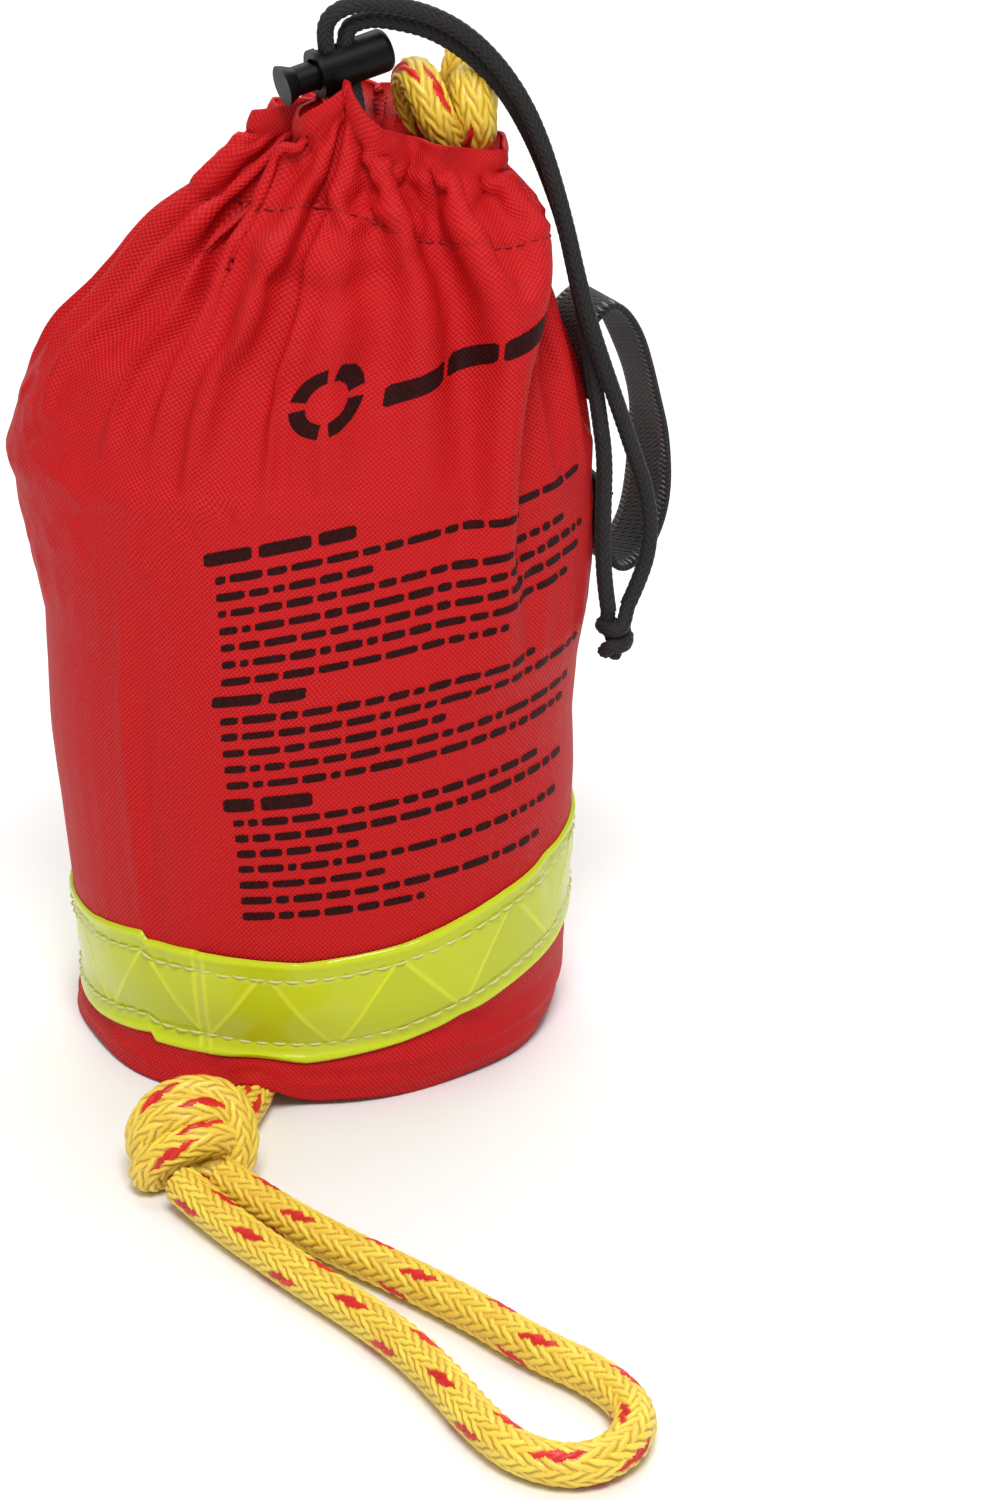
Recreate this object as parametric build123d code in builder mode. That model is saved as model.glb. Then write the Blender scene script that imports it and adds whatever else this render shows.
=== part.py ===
"""Throw rope bag: a soft tube of woven fabric with a gathered mouth, packed with floating rope.

Millimetres, +Z up. The origin is the centre of the bag's base, on the floor it stands on.
+X points at the handle side, -Y at the printed front.
"""

import os
from math import cos, pi, radians, sin, tan

from build123d import *

# Driving dimensions -------------------------------------------------------------------------

ROPE_D = 9.2  # 3/8 inch floating rope, under a little tension
CORD_D = 4.0  # drawcord
FABRIC = 1.3  # two plies of coated polyester with their seams
FIT_GAP = 0.3  # air between neighbours that only lie beside each other

# The bag's outer section at each height: height, centre x, half width (x), half depth (y)
BAG_SECTIONS = [
    (0, -0.5, 56.5, 56.5),
    (25, 1.0, 58.8, 57.5),
    (60, 0.5, 60.8, 56.0),
    (100, 1.2, 63.0, 53.5),
    (140, -1.8, 67.2, 48.5),
    (160, -1.6, 63.6, 46.0),
    (180, 3.0, 52.8, 42.0),
    (196, 9.0, 46.0, 35.0),
    (205, 11.0, 39.5, 29.5),
    (212, 12.5, 31.5, 22.5),
]
MOUTH_Z = 212.0

CASING_BOTTOM = 186.0  # the hem is turned in this far below the mouth
CASING_GAP = 7.0  # level width of the channel between the hem's two layers, which slope
# how far inside the fabric the hem's turned-in layer lies, at each height
CASING_INSETS = [
    (CASING_BOTTOM, 0.1),
    (CASING_BOTTOM + 9, CASING_GAP),
    (205.0, CASING_GAP),
    (MOUTH_Z, CASING_GAP),
]
HEM_CORD_Z = 207.0
STITCH_PROUD = 0.5
SEAM_ANGLE = 12.0  # degrees behind the bag's widest point on the handle side
SEAM_WIDTH = 12.0
NOTCH_X = -11.9  # where the rope leaves under the rim
NOTCH_W = ROPE_D + 1.2

BASE_Z = 20.0  # the sewn-in base, clear of the floor so that the rope can run out under it
BASE_T = 1.2
EYELET_BORE_R = ROPE_D / 2 + 0.6
EYELET_FLANGE_R = 10.0
EYELET_FLANGE_T = 0.8

TAPE_WIDTH = 25.4
TAPE_T = 1.0
TAPE_FRONT_Z = 14.8  # height of the tape's lower edge on the bag's axis
TAPE_RISE_X = 0.19  # the tape is sewn on aslant: it climbs towards the handle
TAPE_RISE_Y = 0.05
TAPE_REACH = 60.0  # above the tape's highest point
TAPE_STITCH_INSET = 4.5
TAPE_STITCH_H = 0.8

STRAP_WIDTH = 20.0
STRAP_T = 1.7
STRAP_BACK = 9.0  # how far behind the bag's widest point the handle is sewn
STRAP_FACING = 24.0  # degrees from +X towards +Y that the handle stands out
STRAP_NECK = 1.2  # half width of the bow's ends, on the line that it swings about
STRAP_SHOULDER = 10.0  # how far out the bow reaches its full width
TAB_OFF = 1.0  # the tabs lie this far off the fabric

LOCK_MOUTH = Vector(3.2, -9.0, 230.0)  # centre of the barrel's open end
LOCK_AXIS = Vector(0.880, 0.423, 0.215)  # from the plunger's head into the barrel
LOCK_LENGTH = 18.0
LOCK_R = 4.9
LOCK_BORE_R = 3.6
LOCK_WALL_END = 1.6
LOCK_ROUND = 1.6
PLUNGER_R = 3.3
PLUNGER_TRAVEL = 2.5
CORD_SPACING = 4.3  # the two strands lie side by side in the lock
LOCK_HOLE_AT = 6.0  # from the open end to the middle of the cross hole

LIP_PROUD = 0.6
LIP_LENGTH = 1.6
HEAD_AT = -8.0
HEAD_R = 4.6
HEAD_RIM = 1.0
HEAD_FLARE = 4.0
PLUNGER_END = 12.2
SPRING_WIRE = 0.6
SPRING_R = 2.5
SPRING_TURNS = 3

TACK_W = 1.4
TACK_T = 0.6
TACK_INSET = 3.0
UPPER_TAB = (150.0, 171.0)  # the heights that each sewn end of the strap covers
LOWER_TAB = (111.0, 131.0)
HINGE_OFF = 4.2  # from the fabric out to the line that the handle swings about
# The handle's side view: out from the hinge line, height
STRAP_ROUTE = [
    (-4.5, 172.5),
    (-1, 174),
    (4, 168),
    (8, 158),
    (11, 148),
    (12.5, 140),
    (12.2, 124),
    (9, 113.5),
    (3, 108.5),
    (-0.6, 109.5),
]

PACK_BOTTOM = 24.0
PACK_TOP = 196.0
PACK_CLEAR = 2.0

# Each knot's centre, radius and half height
MOUTH_KNOT = Vector(32.0, 4.4, 219.5)
MOUTH_KNOT_R = 10.8
MOUTH_KNOT_H = 11.5
LOOP_KNOT = Vector(-25.0, -92.0, 10.0)
LOOP_KNOT_R = 16.5
LOOP_KNOT_H = 10.0
CORD_KNOT = Vector(70.4, -6.0, 97.0)
CORD_KNOT_R = 5.5
CORD_KNOT_H = 8.0
SEALED_END = Vector(3.5, 4.5, 7.0)  # middle of the rope's sealed end, from the mouth knot's centre
SEALED_END_LENGTH = 14.0

# Centrelines, from where each cord leaves the object to its knot
TAIL_ROUTE = [
    (0, 0, 24),
    (0, 0, 14.6),
    (-1.6, -10, 4.6),
    (-5.2, -26, 4.6),
    (-9.5, -42, 4.6),
    (-12, -57, 4.6),
    (-15, -71, 4.7),
    (-19.5, -83, 5.5),
]
LOOP_ROUTE = [
    (-26, -104, 6.0),
    (-18.5, -114.5, 4.8),
    (-9.5, -126.5, 4.6),
    (2, -141, 4.6),
    (14, -155, 4.6),
    (25, -169.5, 4.6),
    (33, -184, 4.6),
    (39.5, -198, 4.6),
    (48, -210.5, 4.6),
    (59.5, -214.5, 4.6),
    (69, -207, 4.6),
    (71.5, -194, 4.6),
    (64, -181, 4.6),
    (51, -170, 4.6),
    (38, -155, 4.6),
    (23.5, -141, 4.6),
    (8, -127.5, 4.6),
    (-6.5, -112.5, 4.8),
    (-17, -101, 6.0),
]
LONG_ROUTE = [
    (7.6, -15.6, 213.4),
    (8.4, -10.8, 218.2),
    (8.0, -6.7, 223.8),
    (5.2, -8.0, 237.9),
    (6.4, -9.8, 243.4),
    (12.5, -8.8, 246),
    (20.5, -7.2, 245.2),
    (29, -5.6, 242.6),
    (36.5, -4.2, 238),
    (43.3, -3, 231),
    (49, -3.2, 222.5),
    (53, -3.6, 213.5),
    (56, -4, 204),
    (58.8, -4.5, 193.5),
    (61.2, -6, 183),
    (64.0, -7.2, 172.5),
    (67.6, -7.8, 161.5),
    (71.2, -5.8, 150.5),
    (74.4, -2.5, 140),
    (77.6, -0.8, 130),
    (78.8, -0.8, 120),
    (77.2, -2, 110.5),
    (73.4, -4.2, 102.8),
]
SHORT_ROUTE = [
    (12.6, -15.2, 213.4),
    (13.0, -9.9, 218.7),
    (11.8, -4.9, 224.7),
    (8.95, -6.24, 239.0),
    (14.5, -5, 241.6),
    (21.5, -3.6, 240.4),
    (29, -2, 238),
    (36.5, -0.4, 232.8),
    (42.8, 1, 226.4),
    (47.6, 1.8, 219.2),
    (51.8, 1.2, 211),
    (55, 0.6, 203),
    (58.3, 0.2, 193.5),
    (60.6, -1.2, 183),
    (62.9, -2.8, 172.5),
    (64.6, -3.4, 162),
    (66.2, -4.2, 151),
    (67.8, -5.6, 140),
    (67.6, -5.7, 129),
    (67.5, -5.9, 118),
    (68.1, -6.4, 108.5),
    (69.0, -6.6, 102.5),
]

# Shared geometry ----------------------------------------------------------------------------


def section_at(height):
    """Centre x, half width and half depth of the bag at a height, between the listed sections."""
    for low, high in zip(BAG_SECTIONS, BAG_SECTIONS[1:]):
        if low[0] <= height <= high[0]:
            share = (height - low[0]) / (high[0] - low[0])
            return [a + (b - a) * share for a, b in zip(low[1:], high[1:])]
    raise ValueError(height)


def bag_outline(grow, bottom=0.0, top=MOUTH_Z):
    """Sections of the bag's outer form, grown outward by grow, between two heights."""
    heights = [bottom, *[s[0] for s in BAG_SECTIONS if bottom < s[0] < top], top]
    outline = []
    for height in heights:
        centre_x, half_x, half_y = section_at(height)
        with BuildSketch(Plane((centre_x, 0, height))) as section:
            Ellipse(half_x + grow, half_y + grow)
        outline.append(section.sketch.face())
    return outline


def sleeve(inner, outer, bottom=0.0, top=MOUTH_Z):
    """A sleeve between two offsets from the bag's outer form."""
    with BuildPart() as wall:
        loft(sections=bag_outline(outer, bottom, top), ruled=True)
        loft(sections=bag_outline(inner, bottom, top), ruled=True, mode=Mode.SUBTRACT)
    return wall.part


def tape_plane(rise):
    """The slanting plane of the tape, rise above its lower edge."""
    normal = Vector(-TAPE_RISE_X, -TAPE_RISE_Y, 1).normalized()
    return Plane(Vector(0, 0, TAPE_FRONT_Z) + normal * rise, z_dir=normal)


def tape_band(inner, outer, low, high):
    """A band round the bag between two offsets from the fabric and two heights up the tape."""
    with BuildPart() as band:
        add(sleeve(inner, outer, top=TAPE_REACH))
        split(bisect_by=tape_plane(low), keep=Keep.TOP)
        split(bisect_by=tape_plane(high), keep=Keep.BOTTOM)
    return band.part


def bend_radii(points):
    """The radius of each bend: 0.45 of the shorter run beside it over the tangent of half the turn."""
    radii = []
    for before, corner, after in zip(points, points[1:], points[2:]):
        run_in, run_out = Vector(*corner) - Vector(*before), Vector(*after) - Vector(*corner)
        half_turn = radians(run_in.get_angle(run_out)) / 2
        radii.append(0.45 * min(run_in.length, run_out.length) / tan(half_turn))
    return radii


def cord_tube(points, diameter):
    """A round cord along straight runs joined by tangent arcs."""
    with BuildLine() as path:
        FilletPolyline(*points, radius=bend_radii(points))
    with BuildSketch(Plane(path.wire() @ 0, z_dir=path.wire() % 0)) as round_section:
        Circle(diameter / 2)
    sweep(sections=round_section.sketch.face(), path=path.wire())


def knot_form(centre, radius, half_height):
    """A tied knot's outer form: a flattened or stretched ball about the vertical."""
    with BuildPart() as form:
        Sphere(1)
        scale(by=(radius, radius, half_height), mode=Mode.REPLACE)
    return form.part.moved(Location(centre))


def report_cord(name, points, diameter, solid):
    """Prints a cord's bends and compares its volume with its section times its length."""
    with BuildLine() as path:
        FilletPolyline(*points, radius=bend_radii(points))
    expected = pi * diameter**2 / 4 * path.wire().length
    radii = ", ".join(f"{r:.0f}" for r in bend_radii(points))
    print(f"{name}: {path.wire().length:.0f} mm long, volume ratio {solid.volume / expected:.3f}")
    print(f"  bend radii {radii}")


# Bag ----------------------------------------------------------------------------------------

with BuildPart() as bag_body:
    add(sleeve(-FABRIC, 0))
    # the rim lifts over the rope where it leaves the bag
    with BuildSketch(Plane.XZ):
        with Locations((NOTCH_X, ROPE_D / 2)):
            Circle(NOTCH_W / 2)
        with Locations((NOTCH_X, 0)):
            Rectangle(NOTCH_W, ROPE_D)
    extrude(amount=BAG_SECTIONS[0][3] + 1, mode=Mode.SUBTRACT)


def casing_outline(thickness):
    """Sections of the hem's turned-in layer, which leaves the fabric at the stitch line."""
    return [bag_outline(-FABRIC - inset - thickness, height - 1, height)[-1]
            for height, inset in CASING_INSETS]


with BuildPart() as hem_casing:
    loft(sections=casing_outline(0), ruled=True)
    loft(sections=casing_outline(FABRIC), ruled=True, mode=Mode.SUBTRACT)

with BuildPart() as hem_stitching:
    add(sleeve(0.05, STITCH_PROUD, CASING_BOTTOM + 2, CASING_BOTTOM + 2 + TAPE_STITCH_H))

with BuildPart() as hem_cord:
    ring_x, ring_half_x, ring_half_y = section_at(HEM_CORD_Z)
    ring_inset = FABRIC + CASING_GAP / 2
    with BuildSketch(Plane((ring_x, 0, HEM_CORD_Z)), mode=Mode.PRIVATE) as ring_shape:
        Ellipse(ring_half_x - ring_inset, ring_half_y - ring_inset)
    ring_path = ring_shape.sketch.face().outer_wire()
    with BuildSketch(Plane(ring_path @ 0, z_dir=ring_path % 0)):
        Circle(CORD_D / 2)
    sweep(path=ring_path)

with BuildPart() as side_seam:
    add(sleeve(-FABRIC - 0.9, -FABRIC - 0.1, BASE_Z + 4, CASING_BOTTOM - 4))
    with BuildSketch(Plane.XY):
        with Locations(Location((0, 0), SEAM_ANGLE)):
            Rectangle(BAG_SECTIONS[0][2] * 2, SEAM_WIDTH, align=(Align.MIN, Align.CENTER))
    extrude(amount=MOUTH_Z, mode=Mode.INTERSECT)

with BuildPart() as base_panel:
    loft(sections=bag_outline(-FABRIC - 0.1, BASE_Z, BASE_Z + BASE_T), ruled=True)
    with BuildSketch(Plane.XY.offset(BASE_Z)):
        Circle(EYELET_BORE_R + 1.2)
    extrude(amount=BASE_T, mode=Mode.SUBTRACT)

with BuildPart() as base_eyelet:
    with BuildSketch(Plane.XY.offset(BASE_Z - EYELET_FLANGE_T)):
        Circle(EYELET_FLANGE_R)
    extrude(amount=EYELET_FLANGE_T)
    with BuildSketch(Plane.XY.offset(BASE_Z)):
        Circle(EYELET_BORE_R + 1.0)
    extrude(amount=BASE_T + EYELET_FLANGE_T)
    fillet(base_eyelet.faces().sort_by(Axis.Z)[0].edges(), 0.35)
    with BuildSketch(Plane.XY.offset(BASE_Z - EYELET_FLANGE_T)):
        Circle(EYELET_BORE_R)
    extrude(amount=BASE_T + 2 * EYELET_FLANGE_T, mode=Mode.SUBTRACT)

with BuildPart() as base_washer:
    with BuildSketch(Plane.XY.offset(BASE_Z + BASE_T)):
        Circle(EYELET_FLANGE_R)
        Circle(EYELET_BORE_R + 1.1, mode=Mode.SUBTRACT)
    extrude(amount=EYELET_FLANGE_T)

# Tape ---------------------------------------------------------------------------------------

with BuildPart() as reflective_tape:
    add(tape_band(0.1, TAPE_T, 0, TAPE_WIDTH))

with BuildPart() as tape_stitching:
    for row in (TAPE_STITCH_INSET, TAPE_WIDTH - TAPE_STITCH_INSET):
        add(tape_band(TAPE_T + 0.05, TAPE_T + STITCH_PROUD, row, row + TAPE_STITCH_H))

# Rope ---------------------------------------------------------------------------------------

with BuildPart() as packed_rope:
    pack_inset = FABRIC + PACK_CLEAR
    loft(sections=bag_outline(-pack_inset, PACK_BOTTOM, CASING_BOTTOM - 2), ruled=True)
    neck_inset = 2 * FABRIC + CASING_GAP + PACK_CLEAR
    loft(sections=bag_outline(-neck_inset, CASING_BOTTOM - 2, PACK_TOP), ruled=True)

with BuildPart() as mouth_knot:
    add(knot_form(MOUTH_KNOT, MOUTH_KNOT_R, MOUTH_KNOT_H))
    # the sealed end stands out of the top, and the rope goes down into the bag
    with Locations(Location(MOUTH_KNOT + SEALED_END, (-10, 10, 0))):
        Cylinder(ROPE_D / 2, SEALED_END_LENGTH)
    stem_length = MOUTH_KNOT.Z - PACK_TOP - MOUTH_KNOT_H / 2
    with Locations(Vector(MOUTH_KNOT.X - 1, MOUTH_KNOT.Y, PACK_TOP + stem_length / 2)):
        Cylinder(ROPE_D / 2, stem_length)

with BuildPart() as loop_knot:
    add(knot_form(LOOP_KNOT, LOOP_KNOT_R, LOOP_KNOT_H))

with BuildPart() as tail_run:
    cord_tube(TAIL_ROUTE, ROPE_D)

with BuildPart() as hand_loop:
    cord_tube(LOOP_ROUTE, ROPE_D)

# Drawcord -----------------------------------------------------------------------------------

with BuildPart() as drawcord_long:
    cord_tube(LONG_ROUTE, CORD_D)

with BuildPart() as drawcord_short:
    cord_tube(SHORT_ROUTE, CORD_D)

with BuildPart() as drawcord_knot:
    add(knot_form(CORD_KNOT, CORD_KNOT_R, CORD_KNOT_H))

# Cord lock ----------------------------------------------------------------------------------

lock_up = (Vector(0, 0, 1) - LOCK_AXIS * LOCK_AXIS.Z).normalized()
lock_side = LOCK_AXIS.cross(lock_up)


def lock_plane(along):
    """The plane across the cord lock, that far from the barrel's open end."""
    return Plane(LOCK_MOUTH + LOCK_AXIS * along, x_dir=lock_up, z_dir=LOCK_AXIS)


def cross_plane(along, up):
    """The plane that the drawcord goes through, up from the lock's axis."""
    return Plane(LOCK_MOUTH + LOCK_AXIS * along + lock_up * up, x_dir=LOCK_AXIS, z_dir=lock_up)


cross_hole_length = 2 * CORD_D + 1.4
cross_hole_width = CORD_D + 0.6
bore_end = LOCK_LENGTH - LOCK_WALL_END

with BuildPart() as lock_barrel:
    with BuildSketch(lock_plane(0)):
        Circle(LOCK_R)
    extrude(amount=LOCK_LENGTH)
    fillet(lock_barrel.faces().sort_by(Axis(LOCK_MOUTH, LOCK_AXIS))[-1].edges(), LOCK_ROUND)
    with BuildSketch(lock_plane(0)):
        Circle(LOCK_R + LIP_PROUD)
    extrude(amount=LIP_LENGTH)
    with BuildSketch(lock_plane(0)):
        Circle(LOCK_BORE_R)
    extrude(amount=bore_end, mode=Mode.SUBTRACT)
    with BuildSketch(cross_plane(LOCK_HOLE_AT, -2 * LOCK_R)):
        SlotOverall(cross_hole_length, cross_hole_width)
    extrude(amount=4 * LOCK_R, mode=Mode.SUBTRACT)

# at rest the spring holds one end of the plunger's slot against the two cords
slot_end = LOCK_HOLE_AT + CORD_SPACING / 2 + CORD_D / 2 + FIT_GAP / 2
slot_length = CORD_SPACING + CORD_D + PLUNGER_TRAVEL + 2 * FIT_GAP

with BuildPart() as lock_plunger:
    with BuildSketch(lock_plane(HEAD_AT + HEAD_FLARE / 2)):
        Circle(PLUNGER_R)
    extrude(amount=PLUNGER_END - HEAD_AT - HEAD_FLARE / 2)
    with BuildSketch(lock_plane(HEAD_AT)):
        Circle(HEAD_R)
    with BuildSketch(lock_plane(HEAD_AT + HEAD_RIM)):
        Circle(HEAD_R - 0.3)
    with BuildSketch(lock_plane(HEAD_AT + HEAD_FLARE)):
        Circle(PLUNGER_R - 0.4)
    loft(ruled=True)
    with BuildSketch(cross_plane(slot_end - slot_length / 2, -2 * LOCK_R)):
        SlotOverall(slot_length, cross_hole_width)
    extrude(amount=4 * LOCK_R, mode=Mode.SUBTRACT)

with BuildPart() as lock_spring:
    spring_height = bore_end - PLUNGER_END - SPRING_WIRE - 0.2
    spring_foot = lock_plane(PLUNGER_END + SPRING_WIRE / 2 + 0.1)
    spring_path = Helix(
        pitch=spring_height / SPRING_TURNS,
        height=spring_height,
        radius=SPRING_R,
        center=spring_foot.origin,
        direction=LOCK_AXIS,
        mode=Mode.PRIVATE,
    )
    with BuildSketch(Plane(spring_path @ 0, z_dir=spring_path % 0)):
        Circle(SPRING_WIRE / 2)
    sweep(path=spring_path, is_frenet=True)

# Handle -------------------------------------------------------------------------------------

facing = Vector(cos(radians(STRAP_FACING)), sin(radians(STRAP_FACING)), 0)
strap_edge = Vector(facing.Y, -facing.X, 0)


def bag_side(height):
    """The point on the bag's surface that the handle is sewn over, at a height."""
    centre_x, half_x, half_y = section_at(height)
    return Vector(centre_x + half_x * (1 - (STRAP_BACK / half_y) ** 2) ** 0.5, STRAP_BACK, height)


def tab(low, high):
    """A sewn end of the strap, lying on the bag between two heights."""
    foot = bag_side(low) + facing * (TAB_OFF + STRAP_T / 2)
    head = bag_side(high) + facing * (TAB_OFF + STRAP_T / 2)
    along = (head - foot).normalized()
    with BuildPart() as end:
        with BuildSketch(Plane(foot, x_dir=strap_edge, z_dir=along)):
            Rectangle(STRAP_WIDTH, STRAP_T)
        extrude(amount=(head - foot).length)
        bag = bag_outline(FIT_GAP, low - STRAP_WIDTH, high + STRAP_T)
        loft(sections=bag, ruled=True, mode=Mode.SUBTRACT)
    return end.part


HINGE = Vector(bag_side(LOWER_TAB[0]).X, STRAP_BACK, 0) + facing * HINGE_OFF

with BuildPart() as handle_tabs:
    add(tab(*UPPER_TAB))
    add(tab(*LOWER_TAB))

with BuildPart() as handle_tacks:
    for low, high in (UPPER_TAB, LOWER_TAB):
        for height in (low + TACK_INSET, high - TACK_INSET):
            centre = bag_side(height) + facing * (TAB_OFF + STRAP_T + TACK_T / 2 + 0.05)
            with Locations(Location(Plane(centre, x_dir=strap_edge, z_dir=facing))):
                Box(STRAP_WIDTH - 2 * TACK_INSET, TACK_W, TACK_T)

with BuildPart() as handle_strap:
    with BuildSketch(Plane(HINGE, x_dir=facing, z_dir=strap_edge)):
        with BuildLine():
            Polyline(*STRAP_ROUTE)
            offset(amount=STRAP_T / 2, side=Side.BOTH)
        make_face()
    extrude(amount=STRAP_WIDTH / 2, both=True)
    # the ends narrow to the hinge line, so that the strap swings clear of its tabs
    with BuildSketch(Plane(HINGE, x_dir=facing)):
        Polygon(
            (-STRAP_NECK, -STRAP_NECK),
            (1, -STRAP_NECK),
            (STRAP_SHOULDER, -STRAP_WIDTH / 2),
            (2 * STRAP_SHOULDER, -STRAP_WIDTH / 2),
            (2 * STRAP_SHOULDER, STRAP_WIDTH / 2),
            (STRAP_SHOULDER, STRAP_WIDTH / 2),
            (1, STRAP_NECK),
            (-STRAP_NECK, STRAP_NECK),
            align=None,
        )
    extrude(amount=MOUTH_Z, mode=Mode.INTERSECT)

# Report and export --------------------------------------------------------------------------

report_cord("tail_run", TAIL_ROUTE, ROPE_D, tail_run.part)
report_cord("hand_loop", LOOP_ROUTE, ROPE_D, hand_loop.part)
report_cord("drawcord_long", LONG_ROUTE, CORD_D, drawcord_long.part)
report_cord("drawcord_short", SHORT_ROUTE, CORD_D, drawcord_short.part)

parts = {
    "bag_body": bag_body,
    "hem_casing": hem_casing,
    "hem_stitching": hem_stitching,
    "hem_cord": hem_cord,
    "side_seam": side_seam,
    "base_panel": base_panel,
    "base_eyelet": base_eyelet,
    "base_washer": base_washer,
    "reflective_tape": reflective_tape,
    "tape_stitching": tape_stitching,
    "packed_rope": packed_rope,
    "mouth_knot": mouth_knot,
    "tail_run": tail_run,
    "loop_knot": loop_knot,
    "hand_loop": hand_loop,
    "drawcord_long": drawcord_long,
    "drawcord_short": drawcord_short,
    "drawcord_knot": drawcord_knot,
    "lock_barrel": lock_barrel,
    "lock_plunger": lock_plunger,
    "lock_spring": lock_spring,
    "handle_tabs": handle_tabs,
    "handle_tacks": handle_tacks,
    "handle_strap": handle_strap,
}

os.makedirs("parts", exist_ok=True)
for name, piece in parts.items():
    piece.part.label = name
    export_step(piece.part, f"parts/{name}.step")
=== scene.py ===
"""Throw rope bag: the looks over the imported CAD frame.

Shapes are given in mm in the CAD's own frame, +Z up and the front towards -Y, and MM makes metres
of them. A place on the fabric is in mm round from the front, to the right, and mm up. The camera,
the lights and the lines that cords follow are in metres.
"""

from math import atan2, cos, pi, radians, sin, sqrt

import bpy
import numpy as np
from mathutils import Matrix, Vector


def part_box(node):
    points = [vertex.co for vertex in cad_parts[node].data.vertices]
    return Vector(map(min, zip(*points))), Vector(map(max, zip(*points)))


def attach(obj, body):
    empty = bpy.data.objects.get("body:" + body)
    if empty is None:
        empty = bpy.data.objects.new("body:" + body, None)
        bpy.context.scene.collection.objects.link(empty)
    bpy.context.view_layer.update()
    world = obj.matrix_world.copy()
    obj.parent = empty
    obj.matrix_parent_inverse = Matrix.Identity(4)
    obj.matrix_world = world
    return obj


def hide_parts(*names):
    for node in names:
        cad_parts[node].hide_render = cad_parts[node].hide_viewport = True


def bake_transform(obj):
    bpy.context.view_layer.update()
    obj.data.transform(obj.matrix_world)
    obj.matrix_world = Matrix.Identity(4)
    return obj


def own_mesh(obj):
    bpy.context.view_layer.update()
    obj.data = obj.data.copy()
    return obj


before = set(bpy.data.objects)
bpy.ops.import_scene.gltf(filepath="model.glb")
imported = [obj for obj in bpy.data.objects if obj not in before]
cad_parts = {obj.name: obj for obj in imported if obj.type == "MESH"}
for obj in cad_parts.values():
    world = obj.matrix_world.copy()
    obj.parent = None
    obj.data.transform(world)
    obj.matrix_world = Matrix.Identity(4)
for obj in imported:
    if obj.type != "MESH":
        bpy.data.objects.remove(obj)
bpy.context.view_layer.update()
MM = 0.001
dice = np.random.RandomState(11)
WEAVE = 1.15 * MM  # from one thread crossing to the next of its kind


def place_object(name, data):
    thing = bpy.data.objects.new(name, data)
    bpy.context.collection.objects.link(thing)
    return thing


# Camera, light and floor --------------------------------------------------------------------


def place_camera():
    """Looks down at the bag from the front, as a long lens does from a metre away."""
    data = bpy.data.cameras.new("camera")
    data.lens = 104.4
    data.sensor_width = 36.0
    camera = place_object("camera", data)
    camera.location = (0.0417, -0.940, 0.479)
    camera.rotation_euler = (radians(90 - 23.8), 0, 0)
    bpy.context.scene.camera = camera


def area_light(name, place, target, size, power):
    """A square light that faces its target. Its power is in watts."""
    data = bpy.data.lights.new(name, "AREA")
    data.shape = "SQUARE"
    data.size = size
    data.energy = power
    light = place_object(name, data)
    light.location = place
    light.rotation_euler = (Vector(target) - Vector(place)).to_track_quat("-Z", "Y").to_euler()


def light_stage():
    middle = (0, 0, 0.1)
    area_light("key", (0.10, -0.90, 1.45), middle, 0.6, 18.5)
    area_light("fill", (-1.2, -0.6, 0.8), middle, 1.0, 0.8)
    area_light("top", (0.1, 0.7, 1.5), middle, 1.2, 9.0)
    area_light("backdrop", (0.0, 2.2, 1.6), (0.0, 2.2, 0.0), 2.4, 30.0)
    world = bpy.data.worlds.new("studio")
    world.use_nodes = True
    background = world.node_tree.nodes["Background"].inputs
    background["Color"].default_value = (1, 1, 1, 1)
    background["Strength"].default_value = 0.36
    bpy.context.scene.world = world
    bpy.context.scene.view_settings.view_transform = "Standard"


def lay_floor():
    half = 3.0
    corners = [(-half, -half, 0), (half, -half, 0), (half, half, 0), (-half, half, 0)]
    mesh = bpy.data.meshes.new("floor")
    mesh.from_pydata(corners, [], [(0, 1, 2, 3)])
    floor = place_object("floor", mesh)
    floor.location.z = -0.0002
    paint = Paint("floor")
    paint.surface((0.93, 0.93, 0.93, 1), Roughness=0.9)
    grain = paint.noise(paint.object_place(), 40, 3)
    paint.bump(grain, 0.02, 0.001)
    floor.data.materials.append(paint.material)


# Materials ----------------------------------------------------------------------------------


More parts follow.
